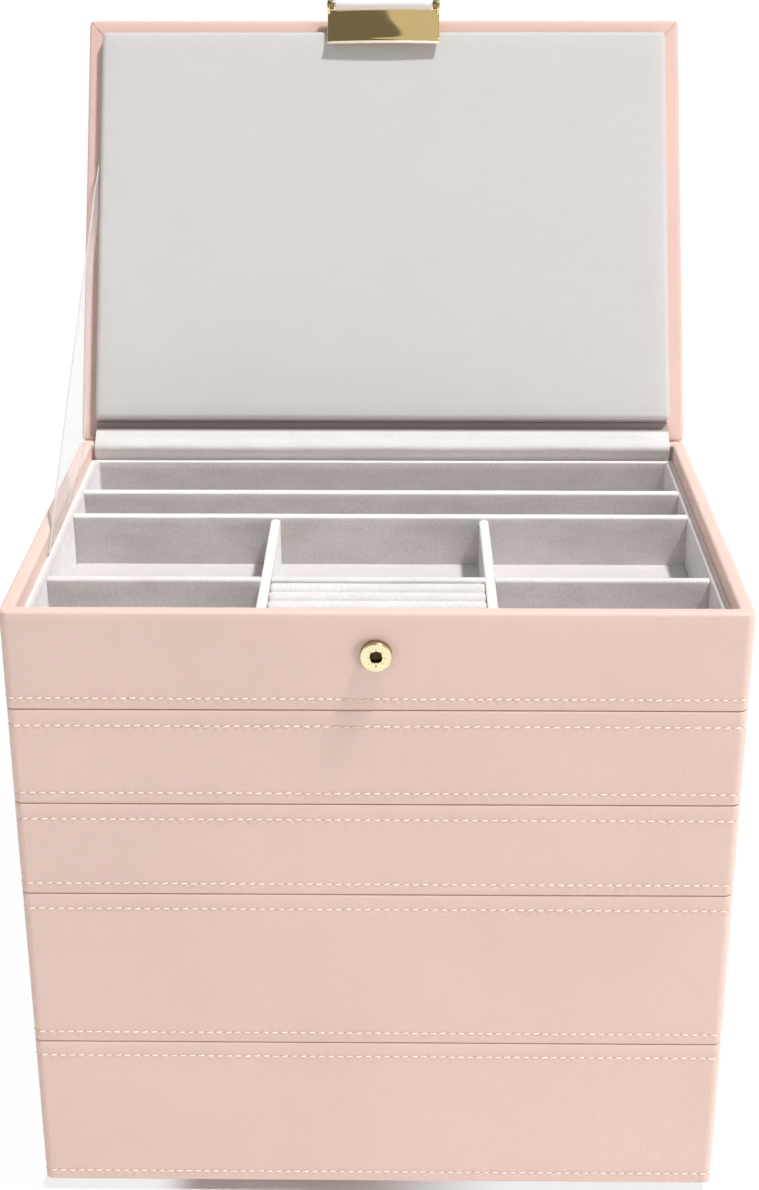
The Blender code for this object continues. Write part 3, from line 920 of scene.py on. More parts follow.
def sweep_x(
    section: Array, stations: Array, insets: Array, shift: Callable[[Array, Array], Array] | None = None
) -> tuple[Array, list[Array], dict[str, Array]]:
    """Carry a closed section of (y, z) points along X.

    Args:
        section: the closed section.
        stations: where along X each copy stands.
        insets: how far each copy is drawn in along the section's normals.
        shift: gives each point's move in y and z from its x and its place on the section.

    Returns:
        Points, face blocks with the two end caps, and the grid's map by length.
    """
    normal = path_normals(section, closed=True)
    area = np.sum(section[:, 0] * np.roll(section[:, 1], -1) - np.roll(section[:, 0], -1) * section[:, 1])
    normal = normal if area > 0 else -normal
    plane = section[None] - normal[None] * insets[:, None, None]
    if shift is not None:
        plane = plane + shift(stations[:, None], plane)
    x = np.broadcast_to(stations[:, None, None], plane.shape[:2] + (1,))
    points = np.concatenate([x, plane], -1).reshape(-1, 3)
    rows, columns = plane.shape[:2]
    caps = end_caps(rows, columns)
    step = np.linalg.norm(np.roll(section, -1, 0) - section, axis=1)
    corners = grid_map(stations, np.concatenate([[0], np.cumsum(step)]))
    cap_corners = points[caps.ravel()][:, 1:]
    faces = [grid_faces(rows, columns, wrap_columns=True), caps]
    return points, faces, {CLOTH_MAP: np.concatenate([corners, cap_corners])}


def rounded_stations(
    low: float, high: float, radius: float, step: float, turn_steps: int = 3
) -> tuple[Array, Array]:
    """Stations for a sweep with rounded ends: an end's inset falls from the radius as a quarter turn.

    Args:
        low: where the sweep starts.
        high: where it ends.
        radius: the radius of its ends.
        step: about how far apart the stations between them stand.
        turn_steps: the steps of each end.

    Returns:
        The stations and their insets.
    """
    turn = np.radians(np.linspace(0, 90, turn_steps + 1))
    ends, insets = radius * (1 - np.cos(turn)), radius * (1 - np.sin(turn))
    middle = np.linspace(low + radius, high - radius, max(2, int((high - low) / step)))[1:-1]
    stations = np.concatenate([low + ends, middle, (high - ends)[::-1]])
    return stations, np.concatenate([insets, np.zeros(len(middle)), insets[::-1]])


def ripple(x: Array, y: Array, size: float, seed: float) -> Array:
    """A slow unevenness of the given size: a sum of four waves of unlike lengths and directions.

    Args:
        x: places one way.
        y: places the other way.
        size: the most that it can come to.
        seed: where its waves start.

    Returns:
        The unevenness at each place.
    """
    waves = ((31, 12, 0.3), (-17, 41, 1.9), (63, -29, 4.1), (22, 71, 2.6))
    total = sum(np.sin(a * x + b * y + c + seed) for a, b, c in waves)
    return size * total / len(waves)


def flat(x: Array, y: Array) -> Array:
    """No height."""
    return np.zeros_like(x)


def turned(profile: Array, sides: int, ring: bool = False) -> tuple[Array, list[Array]]:
    """Turn a profile round Z.

    Args:
        profile: its (radius, height) points.
        sides: how many copies stand round the axis.
        ring: whether the profile closes on itself. Where it doesn't, its ends get flat faces.

    Returns:
        The points and the face blocks.
    """
    angle = np.arange(sides) * 2 * math.pi / sides
    radius, height = profile[:, :1], profile[:, 1:]
    x, y = radius * np.cos(angle), radius * np.sin(angle)
    points = np.stack([x, y, np.broadcast_to(height, x.shape)], -1).reshape(-1, 3)
    caps = [] if ring else [end_caps(len(profile), sides)]
    return points, [grid_faces(len(profile), sides, ring, True), *caps]


@dataclass(frozen=True)
class Slab:
    """A flat piece with a rounded outline and soft edges, such as a pad, a panel or a floor.

    A square grid covers it. Each grid line near the edge is a row of the rim, with its own inset and height,
    and the corners of those rows turn as arcs. The inner lines lie evenly.
    """

    half_x: float
    half_y: float
    lines: Array
    step: float

    def face(
        self, insets: Array, heights: Array, top: Callable[[Array, Array], Array]
    ) -> tuple[Array, Array]:
        """One face of the slab.

        Args:
            insets: the rim rows' places in from the outline.
            heights: their heights.
            top: the height inside the rim, from x and y.

        Returns:
            The points and the four-cornered faces.
        """
        xs, ys = self._axis(self.half_x), self._axis(self.half_y)
        ring_x = np.minimum(np.arange(len(xs)), np.arange(len(xs))[::-1])
        ring_y = np.minimum(np.arange(len(ys)), np.arange(len(ys))[::-1])
        ring = np.minimum(ring_x[:, None], ring_y[None, :])
        x, y = np.meshgrid(xs, ys, indexing="ij")
        rim = ring < len(self.lines)
        level = np.minimum(ring, len(self.lines) - 1)
        reach = self.lines[-1]
        a = np.abs(x) - (self.half_x - reach)
        b = np.abs(y) - (self.half_y - reach)
        corner = rim & (a > NEARLY) & (b > NEARLY)
        across = rim & ~corner & (ring_x[:, None] <= ring_y[None, :])
        along = rim & ~corner & ~across
        size = np.where(corner, np.hypot(a, b), 1)
        out = reach - insets[level]
        new_x = np.where(corner, self.half_x - reach + a / size * out, np.abs(x))
        new_y = np.where(corner, self.half_y - reach + b / size * out, np.abs(y))
        new_x = np.where(across, self.half_x - insets[level], new_x)
        new_y = np.where(along, self.half_y - insets[level], new_y)
        px, py = np.sign(x) * new_x, np.sign(y) * new_y
        rise = np.where(rim, level / (len(self.lines) - 1), 1) ** 4
        z = np.where(rim, heights[level], heights[-1]) + rise * top(px, py)
        points = np.stack([px, py, z], -1).reshape(-1, 3)
        return points, grid_faces(len(xs), len(ys))

    def closed(self, upper: tuple, lower: tuple) -> tuple[Array, list[Array]]:
        """Two faces as one shell, which is open by a hair round its edge until it is welded.

        Args:
            upper: the upper face's insets, heights and top.
            lower: the lower face's, the same way.

        Returns:
            The points and the face block.
        """
        above, faces = self.face(*upper)
        below, _ = self.face(*lower)
        points = np.concatenate([above, below])
        return points, [np.concatenate([faces, faces[:, ::-1] + len(above)])]

    def _axis(self, half: float) -> Array:
        """Grid lines across one way: the rim's rows at both sides and even lines between.

        Args:
            half: half the slab's size that way.

        Returns:
            The lines' places.
        """
        count = max(3, int(2 * half / self.step))
        inner = np.linspace(-half + self.lines[-1], half - self.lines[-1], count)
        return np.concatenate([-half + self.lines[:-1], inner, (half - self.lines[:-1])[::-1]])


@dataclass(frozen=True)
class Seam:
    """A row of stitches round a loop, with the groove that it pulls into the hide."""

    loop: Loop
    about: float
    length_share: float = 0.72
    thread_radius: float = 0.00028
    groove: float = 0.00022
    groove_width: float = 0.0006
    slant: float = 5.0
    sides: int = 6

    @property
    def count(self) -> int:
        """How many stitches of about the wanted pitch fit the loop."""
        return round(self.loop.lengths().sum() / self.about)

    @property
    def pitch(self) -> float:
        """The pitch at which they fit it evenly."""
        return self.loop.lengths().sum() / self.count

    def row(self, level: float, up: bool = False) -> tuple[Array, Array, Array]:
        """One row of stitches' places.

        Args:
            level: the row's height.
            up: whether the hide faces up there, and not away from the loop.

        Returns:
            For each stitch its middle on the hide, the way it runs and the hide's outward way.
        """
        point, normal = self.loop.at((np.arange(self.count) + 0.5) * self.pitch)
        blank = np.zeros((self.count, 1))
        along = np.concatenate([-normal[:, 1:], normal[:, :1], blank], -1)
        out = np.tile([0.0, 0.0, 1.0], (self.count, 1)) if up else np.concatenate([normal, blank], -1)
        return np.concatenate([point, blank + level], -1), along, out

    def stitches(
        self, centres: Array, along: Array, out: Array, rng: np.random.Generator
    ) -> tuple[Array, list[Array]]:
        """Every stitch of a row, each a short tube that dips into its needle holes.

        Args:
            centres: the middle of each stitch on the hide.
            along: the way it runs.
            out: the hide's outward way there.
            rng: draws the small differences between stitches.

        Returns:
            The points and the face blocks.
        """
        shares = np.array([-1.0, -0.86, -0.45, 0.0, 0.45, 0.86, 1.0])
        girth = np.array([0.35, 0.82, 1.0, 1.06, 1.0, 0.82, 0.35])
        lift = np.array([-1.3, -0.25, 0.25, 0.36, 0.25, -0.25, -1.3]) * self.thread_radius
        turn = np.arange(self.sides) * 2 * math.pi / self.sides
        count = len(centres)
        side = np.cross(out, along)
        tilt = np.radians(self.slant + rng.normal(0, 1.6, count))[:, None]
        run = along * np.cos(tilt) + side * np.sin(tilt)
        across = side * np.cos(tilt) - along * np.sin(tilt)
        half = self.pitch * self.length_share / 2 * (1 + rng.normal(0, 0.035, count))
        middle = centres + side * rng.normal(0, 0.00004, count)[:, None]
        reach = (shares[None, :] * half[:, None])[..., None]
        spine = middle[:, None] + run[:, None] * reach + out[:, None] * lift[None, :, None]
        wide = across[:, None, None] * (np.cos(turn)[None, None, :] * girth[None, :, None])[..., None]
        high = out[:, None, None] * (np.sin(turn)[None, None, :] * girth[None, :, None] * 0.85)[..., None]
        points = (spine[:, :, None] + (wide + high) * self.thread_radius).reshape(-1, 3)
        tube = grid_faces(len(shares), self.sides, wrap_columns=True)
        start = np.arange(count)[:, None, None] * len(shares) * self.sides
        caps = end_caps(len(shares), self.sides)
        return points, [(tube[None] + start).reshape(-1, 4), (caps[None] + start).reshape(-1, self.sides)]

    def groove_depth(self, off: Array, along: Array) -> Array:
        """How far the hide is pulled in: a soft valley along the row, deeper at each needle hole.

        Args:
            off: distances from the row.
            along: distances along it.

        Returns:
            The depths.
        """
        valley = np.exp(-((off / self.groove_width) ** 2))
        holes = 0.5 + 0.5 * np.cos(2 * math.pi * along / self.pitch)
        shoulder = np.exp(-((off / (self.groove_width * 3.2)) ** 2))
        return self.groove * (valley * (0.72 + 0.5 * holes) + 0.3 * shoulder)


@dataclass
class Tray:
    """One tray's hide walls, stitches, velvet liner, floor and dividers."""

    number: int
    nodes: Sequence[str]
    rng: np.random.Generator
    wall: float = 0.005
    corner: float = 0.003
    well_corner: float = 0.001
    rim_edge: float = 0.0012
    # How deep the painted shade on the top tray's rim lies.
    rim_painted_shade: float = 0.16
    joint_edge: float = 0.0004
    level_spacing: float = 0.00008
    top_stitch: float = 0.00315
    lower_stitch: float = 0.00338
    low_row: float = 0.0040
    high_row: float = 0.0060
    unevenness: float = 0.00008
    liner_wall: float = 0.0025
    liner_corner: float = 0.0018
    liner_edge: float = 0.0009
    liner_well_corner: float = 0.0009
    liner_step: float = 0.006
    liner_belly: float = 0.00012
    liner_shade: float = 0.3
    side_strip: float = 0.0004
    divider_edge: float = 0.0011
    divider_ends: float = 0.0006
    # Strengths of the painted highlight on the dividers' tops.
    divider_crest: float = 0.75
    cross_crest: float = 0.35
    overlap: float = 0.0006

    @property
    def body(self) -> Body:
        """The body that the tray's pieces ride on."""
        return Body[f"TRAY_{self.number}"]

    def build(self) -> list[bpy.types.Object]:
        """Make every piece of the tray."""
        own = [name for name in self.nodes if name.startswith(f"tray{self.number}_") and "divider" in name]
        return [self.walls(), self.stitching(), self.liner(), self.floor(), *map(self.divider, own)]

    def _outline(self) -> tuple[Seam, Loop, float, float]:
        """The seam round the walls' outer loop, their inner loop, and their lowest and highest levels.

        Returns:
            The seam, the inner loop and the two levels.
        """
        low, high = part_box(f"tray{self.number}_walls")
        outer = Loop(high.x, high.y, self.corner)
        inner = Loop(high.x - self.wall, high.y - self.wall, self.well_corner)
        return Seam(outer, self.top_stitch if self.number == 1 else self.lower_stitch), inner, low.z, high.z

    def _rows(self, low: float, high: float) -> list[float]:
        """The levels of the stitch rows. The top tray's rim is turned over, so it has no upper row."""
        return [low + self.low_row] + ([high - self.high_row] if self.number > 1 else [])

    def walls(self) -> bpy.types.Object:
        """The wrapped walls.

        A closed section runs up the outer face, over the rim and down the inside. Each of its points has a
        depth, which picks a place between the outer and the inner loop, and a level.

        Returns:
            The walls.
        """
        seam, inner, low, high = self._outline()
        at = seam.loop.places(np.arange(2 * seam.count) * seam.pitch / 2)
        rows = self._rows(low, high)
        depth, level = self._wall_section(low, high, rows)
        off = np.min([np.abs(level - row) for row in rows], axis=0)
        face = depth < NEARLY
        uneven = ripple(at[:, None] * 0.6, level[None, :], self.unevenness, self.number)
        push = uneven * (depth < self.wall / 2) - seam.groove_depth(off[None, :], at[:, None]) * face
        points = seam.loop.between(inner, at, depth / self.wall, push, level)
        step = np.hypot(np.diff(depth, append=depth[0]), np.diff(level, append=level[0]))
        far_off = 5.0
        signed = np.where(face, off / seam.pitch, far_off)
        whole = np.append(at, seam.loop.lengths().sum())
        maps = {
            CLOTH_MAP: grid_map(whole, np.concatenate([[0], np.cumsum(step)])),
            SEAM_MAP: grid_map(whole / seam.pitch, np.append(signed, signed[0])),
        }
        # Painted shade on the top tray's rim.
        painted_shade = np.tile(level > high - self.rim_edge, len(at)) * (self.number == 1)
        faces = [grid_faces(len(at), len(depth), True, True)]
        return Surface().add(points, faces, maps, painted_shade * -self.rim_painted_shade).build(
            f"tray{self.number}_hide", WALL_HIDE, self.body, f"tray{self.number}_walls"
        )

    def _wall_section(self, low: float, high: float, rows: Sequence[float]) -> Array:
        """The walls' section, with its points close together near the stitch rows.

        Args:
            low: the walls' lowest level.
            high: their highest.
            rows: the levels of the stitch rows.

        Returns:
            Two rows: depths in from the outer face, and levels.
        """
        r, w = self.joint_edge, self.wall
        lip = self.rim_edge if self.number == 1 else r
        near = np.array([-1.8, -1.3, -0.9, -0.6, -0.35, -0.15, 0, 0.15, 0.35, 0.6, 0.9, 1.3, 1.8]) * MM
        levels = np.concatenate([row + near for row in rows] + [np.linspace(low + r, high - lip, 12)])
        levels = np.unique(np.round(levels[(levels >= low + r) & (levels <= high - lip)], 6))
        levels = levels[np.append(True, np.diff(levels) > self.level_spacing)]
        foot = quarter_turn((r, low + r), r, 270, 5)[:-1]
        lip_out = quarter_turn((lip, high - lip), lip, 180, 5)
        lip_in = quarter_turn((w - lip, high - lip), lip, 90, 5)
        inside = np.stack([np.full(5, w), np.linspace(high - lip, low + r, 7)[1:-1]], -1)
        under = quarter_turn((w - r, low + r), r, 0, 3)
        outside = np.stack([np.zeros(len(levels)), levels], -1)
        return np.concatenate([foot, outside[:-1], lip_out, lip_in, inside, under]).T

    def stitching(self) -> bpy.types.Object:
        """The rows of stitches round the tray, sunk in their groove.

        Returns:
            The stitches, as one piece.
        """
        seam, _, low, high = self._outline()
        surface = Surface()
        for row in self._rows(low, high):
            centres, along, out = seam.row(row)
            surface.add(*seam.stitches(centres - out * seam.groove * 0.75, along, out, self.rng))
        return surface.build(f"tray{self.number}_stitches", THREAD, self.body)

    def liner(self) -> bpy.types.Object:
        """The velvet liner's walls: a closed section with a rounded top, carried round the well.

        Returns:
            The liner's walls.
        """
        low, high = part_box(f"tray{self.number}_liner")
        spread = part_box(f"tray{self.number}_walls")[1].x - self.wall - high.x
        outer = Loop(high.x + spread, high.y + spread, self.liner_corner)
        inner = Loop(high.x - self.liner_wall, high.y - self.liner_wall, self.liner_well_corner)
        at = outer.places(np.arange(0, outer.lengths().sum(), self.liner_step), 6)
        w, edge = self.liner_wall + spread, self.liner_edge
        tight = quarter_turn((edge * 0.5, high.z - edge * 0.5), edge * 0.5, 180, 3)
        crown = np.concatenate([tight, quarter_turn((w - edge, high.z - edge), edge, 90, 6)])
        inside = np.stack([np.full(7, w), np.linspace(high.z - edge, low.z, 9)[1:-1]], -1)
        depth, level = np.concatenate([[[0, low.z]], crown, inside, [[w, low.z]]]).T
        belly = np.sin(np.clip((high.z - level) / (high.z - low.z), 0, 1) * math.pi)
        bulge = ripple(at[:, None], level[None], 0.00009, 3.0 + self.number)
        wave = ripple(at[:, None], level[None], 0.00012, 8.0) * (level > low.z + w)
        push = bulge - self.liner_belly * belly * (depth > w * 0.6)
        points = outer.between(inner, at, depth / w, push, level + wave)
        x, y, z = points.T
        # Painted light on the liner: a painted highlight along its top, painted shade near the top of its
        # inner faces beside the side walls, and painted shade down its back wall below the top.
        inner_side = np.tile(depth > w * 0.4, len(at))
        beside = (np.abs(x) > inner.half_x - self.side_strip) & (np.abs(y) < inner.half_y) & inner_side
        behind = (y > inner.half_y - self.side_strip) * np.clip((high.z - z) / 0.002, 0, 1)
        pale = crest(z, high.z, self.liner_edge * 1.3)
        tone = np.where(beside, pale * -self.liner_shade, pale) - self.liner_shade * behind
        faces = [grid_faces(len(at), len(depth), True, True)]
        return Surface().add(points, faces, tone=tone).build(
            f"tray{self.number}_well_walls", WELL_VELVET, self.body, f"tray{self.number}_liner"
        )

    def floor(self) -> bpy.types.Object:
        """The velvet floor: a thin slab with a faint swell, which meets the liner's walls.

        Returns:
            The floor.
        """
        low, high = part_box(f"tray{self.number}_liner")
        thick = self.liner_wall
        inset = self.overlap - thick
        lines = np.array([0.0, 0.4, 0.9, 1.6]) * MM
        slab = Slab(high.x + inset, high.y + inset, lines, 0.008)
        heights = thick * np.array([0.4, 0.75, 0.95, 1.0])
        swell = 4.0 + self.number
        upper = (lines, heights, lambda x, y: ripple(x, y, 0.00015, swell))
        points, faces = slab.closed(upper, (lines, thick * np.array([0.4, 0.0, 0.0, 0.0]), flat))
        name = f"tray{self.number}_well_floor"
        return Surface().add(points + [0, 0, low.z], faces).build(name, FLOOR_SHADED_VELVET, self.body, weld=True)

    def divider(self, node: str) -> bpy.types.Object:
        """A velvet-wrapped divider: a section with a faintly crowned top, carried along its length.

        Args:
            node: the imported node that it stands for.

        Returns:
            The divider.
        """
        low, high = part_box(node)
        size = high - low
        along_x = size.x > size.y
        start = (low.x if along_x else low.y) - self.overlap
        end = (high.x if along_x else high.y) + self.overlap
        middle = (low.y + high.y) / 2 if along_x else (low.x + high.x) / 2
        section = self._board_section(min(size.x, size.y), low.z - self.overlap, high.z)
        stations, insets = rounded_stations(start, end, self.divider_ends, 0.007)
        seed = middle * 300

        def waver(x: Array, plane: Array) -> Array:
            """A slow sway of the board, most at its top.

            Args:
                x: the stations.
                plane: the section's points there, as (y, z).

            Returns:
                Each point's move in y and z.
            """
            rise = (plane[..., 1] - low.z) / size.z
            sway = ripple(x, plane[..., 1], 0.0001, seed) * rise
            return np.stack([sway, ripple(x, plane[..., 1], 0.00008, seed + 2) * (rise > 0.5)], -1)

        points, faces, _ = sweep_x(section, stations, insets, waver)
        points = points + [0, middle, 0]
        points = points if along_x else points[:, [1, 0, 2]]
        # A painted highlight along the divider's top, weaker on the cross dividers.
        pale = self.cross_crest if "cross" in node else self.divider_crest
        surface = Surface().add(points, faces, tone=crest(points[:, 2], high.z, 0.0013) * pale)
        return surface.build(node.replace("divider", "velvet_divider"), WELL_VELVET, self.body, node)

    def _board_section(self, thick: float, low: float, high: float) -> Array:
        """A divider's section as (y, z): straight sides and a faintly crowned top with rounded edges.

        Args:
            thick: the divider's thickness.
            low: its foot.
            high: its top.

        Returns:
            The section's points.
        """
        half, edge = thick / 2, self.divider_edge
        left_edge = quarter_turn((-half + edge, high - edge), edge, 180, 6)
        right_edge = quarter_turn((half - edge, high - edge), edge, 90, 6)
        crown = np.concatenate([left_edge, [(0.0, high + 0.12 * MM)], right_edge])
        return crowned_section(crown, half, high - edge, low, 6)


@dataclass
class RingRolls:
    """The foam rolls in the front middle compartment, each wrapped in velvet."""

    count: int = 5
    fill: float = 0.85
    arch: float = 0.0004
    squeeze: float = 0.0003
    ends: float = 0.0012
    # Strength of the painted highlight on each roll's top.
    pale: float = 0.3

    def build(self) -> list[bpy.types.Object]:
        """Make each roll."""
        return [self.roll(i + 1) for i in range(self.count)]

    def roll(self, number: int) -> bpy.types.Object:
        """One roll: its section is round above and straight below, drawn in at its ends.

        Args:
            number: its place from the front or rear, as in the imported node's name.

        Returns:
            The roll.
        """
        node = f"tray1_ring_roll_{number}"
        low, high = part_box(node)
        half = (high.y - low.y) / 2
        crown = quarter_turn((0.0, high.z - half), half, 180, 18, -180)
        crown[:, 1] += self.arch * np.cos(np.clip(crown[:, 0] / half, -1, 1) * math.pi / 2)
        section = crowned_section(crown, half, high.z - half, low.z, 5)
        stations, insets = rounded_stations(low.x - self.squeeze, high.x + self.squeeze, self.ends, 0.003, 5)
        seed = number * 1.7

        def soften(x: Array, plane: Array) -> Array:
            """The wrap's slow unevenness, and a little sag of each roll's top.

            Args:
                x: the stations.
                plane: the section's points there, as (y, z).

            Returns:
                Each point's move in y and z.
            """
            rise = np.clip((plane[..., 1] - low.z) / (high.z - low.z), 0, 1)
            sway = ripple(x * 1.6, plane[..., 1], 0.00018, seed) * rise
            lift = ripple(x * 1.3, plane[..., 0], 0.00022, seed + 4) * (rise > 0.4)
            return np.stack([sway, lift], -1)

        points, faces, _ = sweep_x(section, stations, insets, soften)
        # A painted highlight along the roll's top.
        tone = crest(points[:, 2], high.z, 0.0026) * self.pale
        surface = Surface().add(points + [0, (high.y + low.y) / 2, 0], faces, tone=tone)
        roll = surface.build(f"tray1_velvet_roll_{number}", WELL_VELVET, Body.TRAY_1, node)
        return roll


@dataclass
class Hinge:
    """The hinge line, and the lid's frame: y along the shut lid from the hinge line, and z out of it."""

    line: Vector
    open_degrees: float = 118.7

    def __post_init__(self) -> None:
        """Work out the lid's turn from the opening."""
        self.turn = Matrix.Rotation(-math.radians(self.open_degrees), 3, "X")

    def to_world(self, points: Array) -> Array:
        """Points of the shut lid, given from the hinge line, at their places on the open lid."""
        return points @ np.array(self.turn).T + np.array(self.line)

    def lid_point(self, along: float, out: float) -> Array:
        """A place on the open lid as (y, z) from the hinge line.

        Args:
            along: how far it lies from the hinge line towards the lid's free edge.
            out: how far it stands towards the lid's outer face.

        Returns:
            The place.
        """
        angle = math.radians(self.open_degrees)
        c, s = math.cos(angle), math.sin(angle)
        return np.array([-along * c + out * s, along * s + out * c])


@dataclass
class Lid:
    """The wrapped lid panel with its folds and stitches, and the velvet pad inside it."""

    hinge: Hinge
    rng: np.random.Generator
    width: float = 0.250
    length: float = 0.181
    thickness: float = 0.008
    gap: float = 0.0003
    crown: float = 0.0008
    pad_half_x: float = 0.1189
    pad_front: float = 0.1742
    pad_rear: float = 0.0076
    pad_swell: float = 0.0002
    pad_fill: float = 0.95
    seam_inset: float = 0.0055
    seam_corner: float = 0.002
    seam_rise: float = 0.00012
    stitch_pitch: float = 0.00315
    # Reach and depth of the painted shade along the lid's free edge.
    edge_reach: float = 0.0012
    edge_painted_shade: float = 0.24
    fold_inset: float = 0.0008
    fold_width: float = 0.00028
    fold_depth: float = 0.0002
    fold_rise: float = 0.00006
    grid: float = 0.005

    def build(self) -> list[bpy.types.Object]:
        """Make the panel, its folds and stitches, and the pad."""
        return [self.panel(), self.folds(), self.stitching(), self.pad()]

    def panel(self) -> bpy.types.Object:
        """The panel: a slab whose edges round over, a little fuller outside than inside.

        Returns:
            The panel.
        """
        lines = np.array([0.0, 0.1, 0.35, 0.7, 1.1, 1.6, 2.2]) * MM
        insets = np.array([0.0, 0.0, 0.1, 0.35, 0.75, 1.35, 2.2]) * MM
        outside = np.array([4.0, 6.6, 7.2, 7.62, 7.86, 7.97, 8.0]) * MM
        inside = np.array([4.0, 1.3, 0.75, 0.33, 0.1, 0.0, 0.0]) * MM

        def cushion(x: Array, y: Array) -> Array:
            """The thin padding under the outer hide: a low crown that falls to the edges."""
            fall = (1 - (x / self.width * 2) ** 4) * (1 - (y / self.length * 2) ** 4)
            return self.crown * fall + ripple(x, y, 0.00008, 5.0)

        def nearly_flat(x: Array, y: Array) -> Array:
            """The inner face's slight waves."""
            return ripple(x, y, 0.00004, 1.0)

        slab = Slab(self.width / 2, self.length / 2, lines, self.grid)
        points, faces = slab.closed((insets, outside, cushion), (insets, inside, nearly_flat))
        points = points + [0, -self.length / 2, self.gap]
        # Painted shade along the lid's free edge.
        painted_shade = points[:, 1] < self.edge_reach - self.length
        surface = Surface().add(self.hinge.to_world(points), faces, tone=painted_shade * -self.edge_painted_shade)
        return surface.build("lid_hide", LID_SHADED_HIDE, Body.LID, "lid_panel", weld=True)

    def folds(self) -> bpy.types.Object:
        """The lines where the turned-in hide meets at the free corners: slim dark strips from corner to pad,
        which paint the shade in the folds.

        Returns:
            Both strips, as one piece.
        """
        box = np.array([[0, 1, 2, 3], [7, 6, 5, 4], [0, 4, 5, 1], [1, 5, 6, 2], [2, 6, 7, 3], [3, 7, 4, 0]])
        surface = Surface()
        for side in (-1, 1):
            start = np.array([side * (self.width / 2 - self.fold_inset), self.fold_inset - self.length])
            stop = np.array([side * self.pad_half_x, -self.pad_front])
            along = (stop - start) / np.linalg.norm(stop - start)
            across = np.array([-along[1], along[0]]) * self.fold_width / 2
            plan = np.array([start - across, stop - across, stop + across, start + across])
            levels = (self.gap + self.fold_depth, self.gap - self.fold_rise)
            points = np.concatenate([np.column_stack([plan, np.full(4, level)]) for level in levels])
            surface.add(self.hinge.to_world(points), [box])
        return surface.build("lid_corner_folds", FOLD_SHADE_HIDE, Body.LID)

    def stitching(self) -> bpy.types.Object:
        """A row of stitches round the outer face, a little in from its edge.

        Returns:
            The stitches, as one piece.
        """
        inset = self.seam_inset
        loop = Loop(self.width / 2 - inset, self.length / 2 - inset, self.seam_corner)
        seam = Seam(loop, self.stitch_pitch)
        centres, along, out = seam.row(self.thickness + self.gap + self.seam_rise, up=True)
        points, faces = seam.stitches(centres + [0, -self.length / 2, 0], along, out, self.rng)
        return Surface().add(self.hinge.to_world(points), faces).build("lid_stitches", THREAD, Body.LID)

    def pad(self) -> bpy.types.Object:
        """The pad: foam under velvet, with sides that swell and round over to a nearly flat face.

        Returns:
            The pad.
        """
        half_y = (self.pad_front - self.pad_rear) / 2
        lines = np.array([0.0, 0.15, 0.35, 0.65, 1.0, 1.4, 1.9, 2.4]) * MM
        insets = np.array([0.45, 0.15, 0.02, 0.05, 0.32, 0.85, 1.6, 2.4]) * MM
        heights = np.array([0.0, 0.9, 2.1, 3.3, 4.4, 5.15, 5.6, 5.75]) * MM

        def crown(x: Array, y: Array) -> Array:
            """The foam's faint swell."""
            fall = (1 - (x / self.pad_half_x) ** 6) * (1 - (y / half_y) ** 6)
            return self.pad_swell * fall + ripple(x, y, 0.00012, 2.0)

        slab = Slab(self.pad_half_x, half_y, lines, self.grid)
        points, faces = slab.closed((insets, heights, crown), (insets, np.zeros(len(lines)), flat))
        # Painted shade on the pad's lower side along its rear edge, towards the hinge.
        rear = np.clip((points[:, 1] - half_y) / 0.0004 + 1.5, 0, 1)
        low_side = rear * np.clip((0.0052 - points[:, 2]) / 0.0009, 0, 1)
        points = points * [1, 1, -1] + [0, -(self.pad_front + self.pad_rear) / 2, self.gap]
        surface = Surface().add(self.hinge.to_world(points), faces, tone=-low_side)
        pad = surface.build("lid_velvet_pad", LID_VELVET, Body.LID, "lid_pad", weld=True)
        return pad


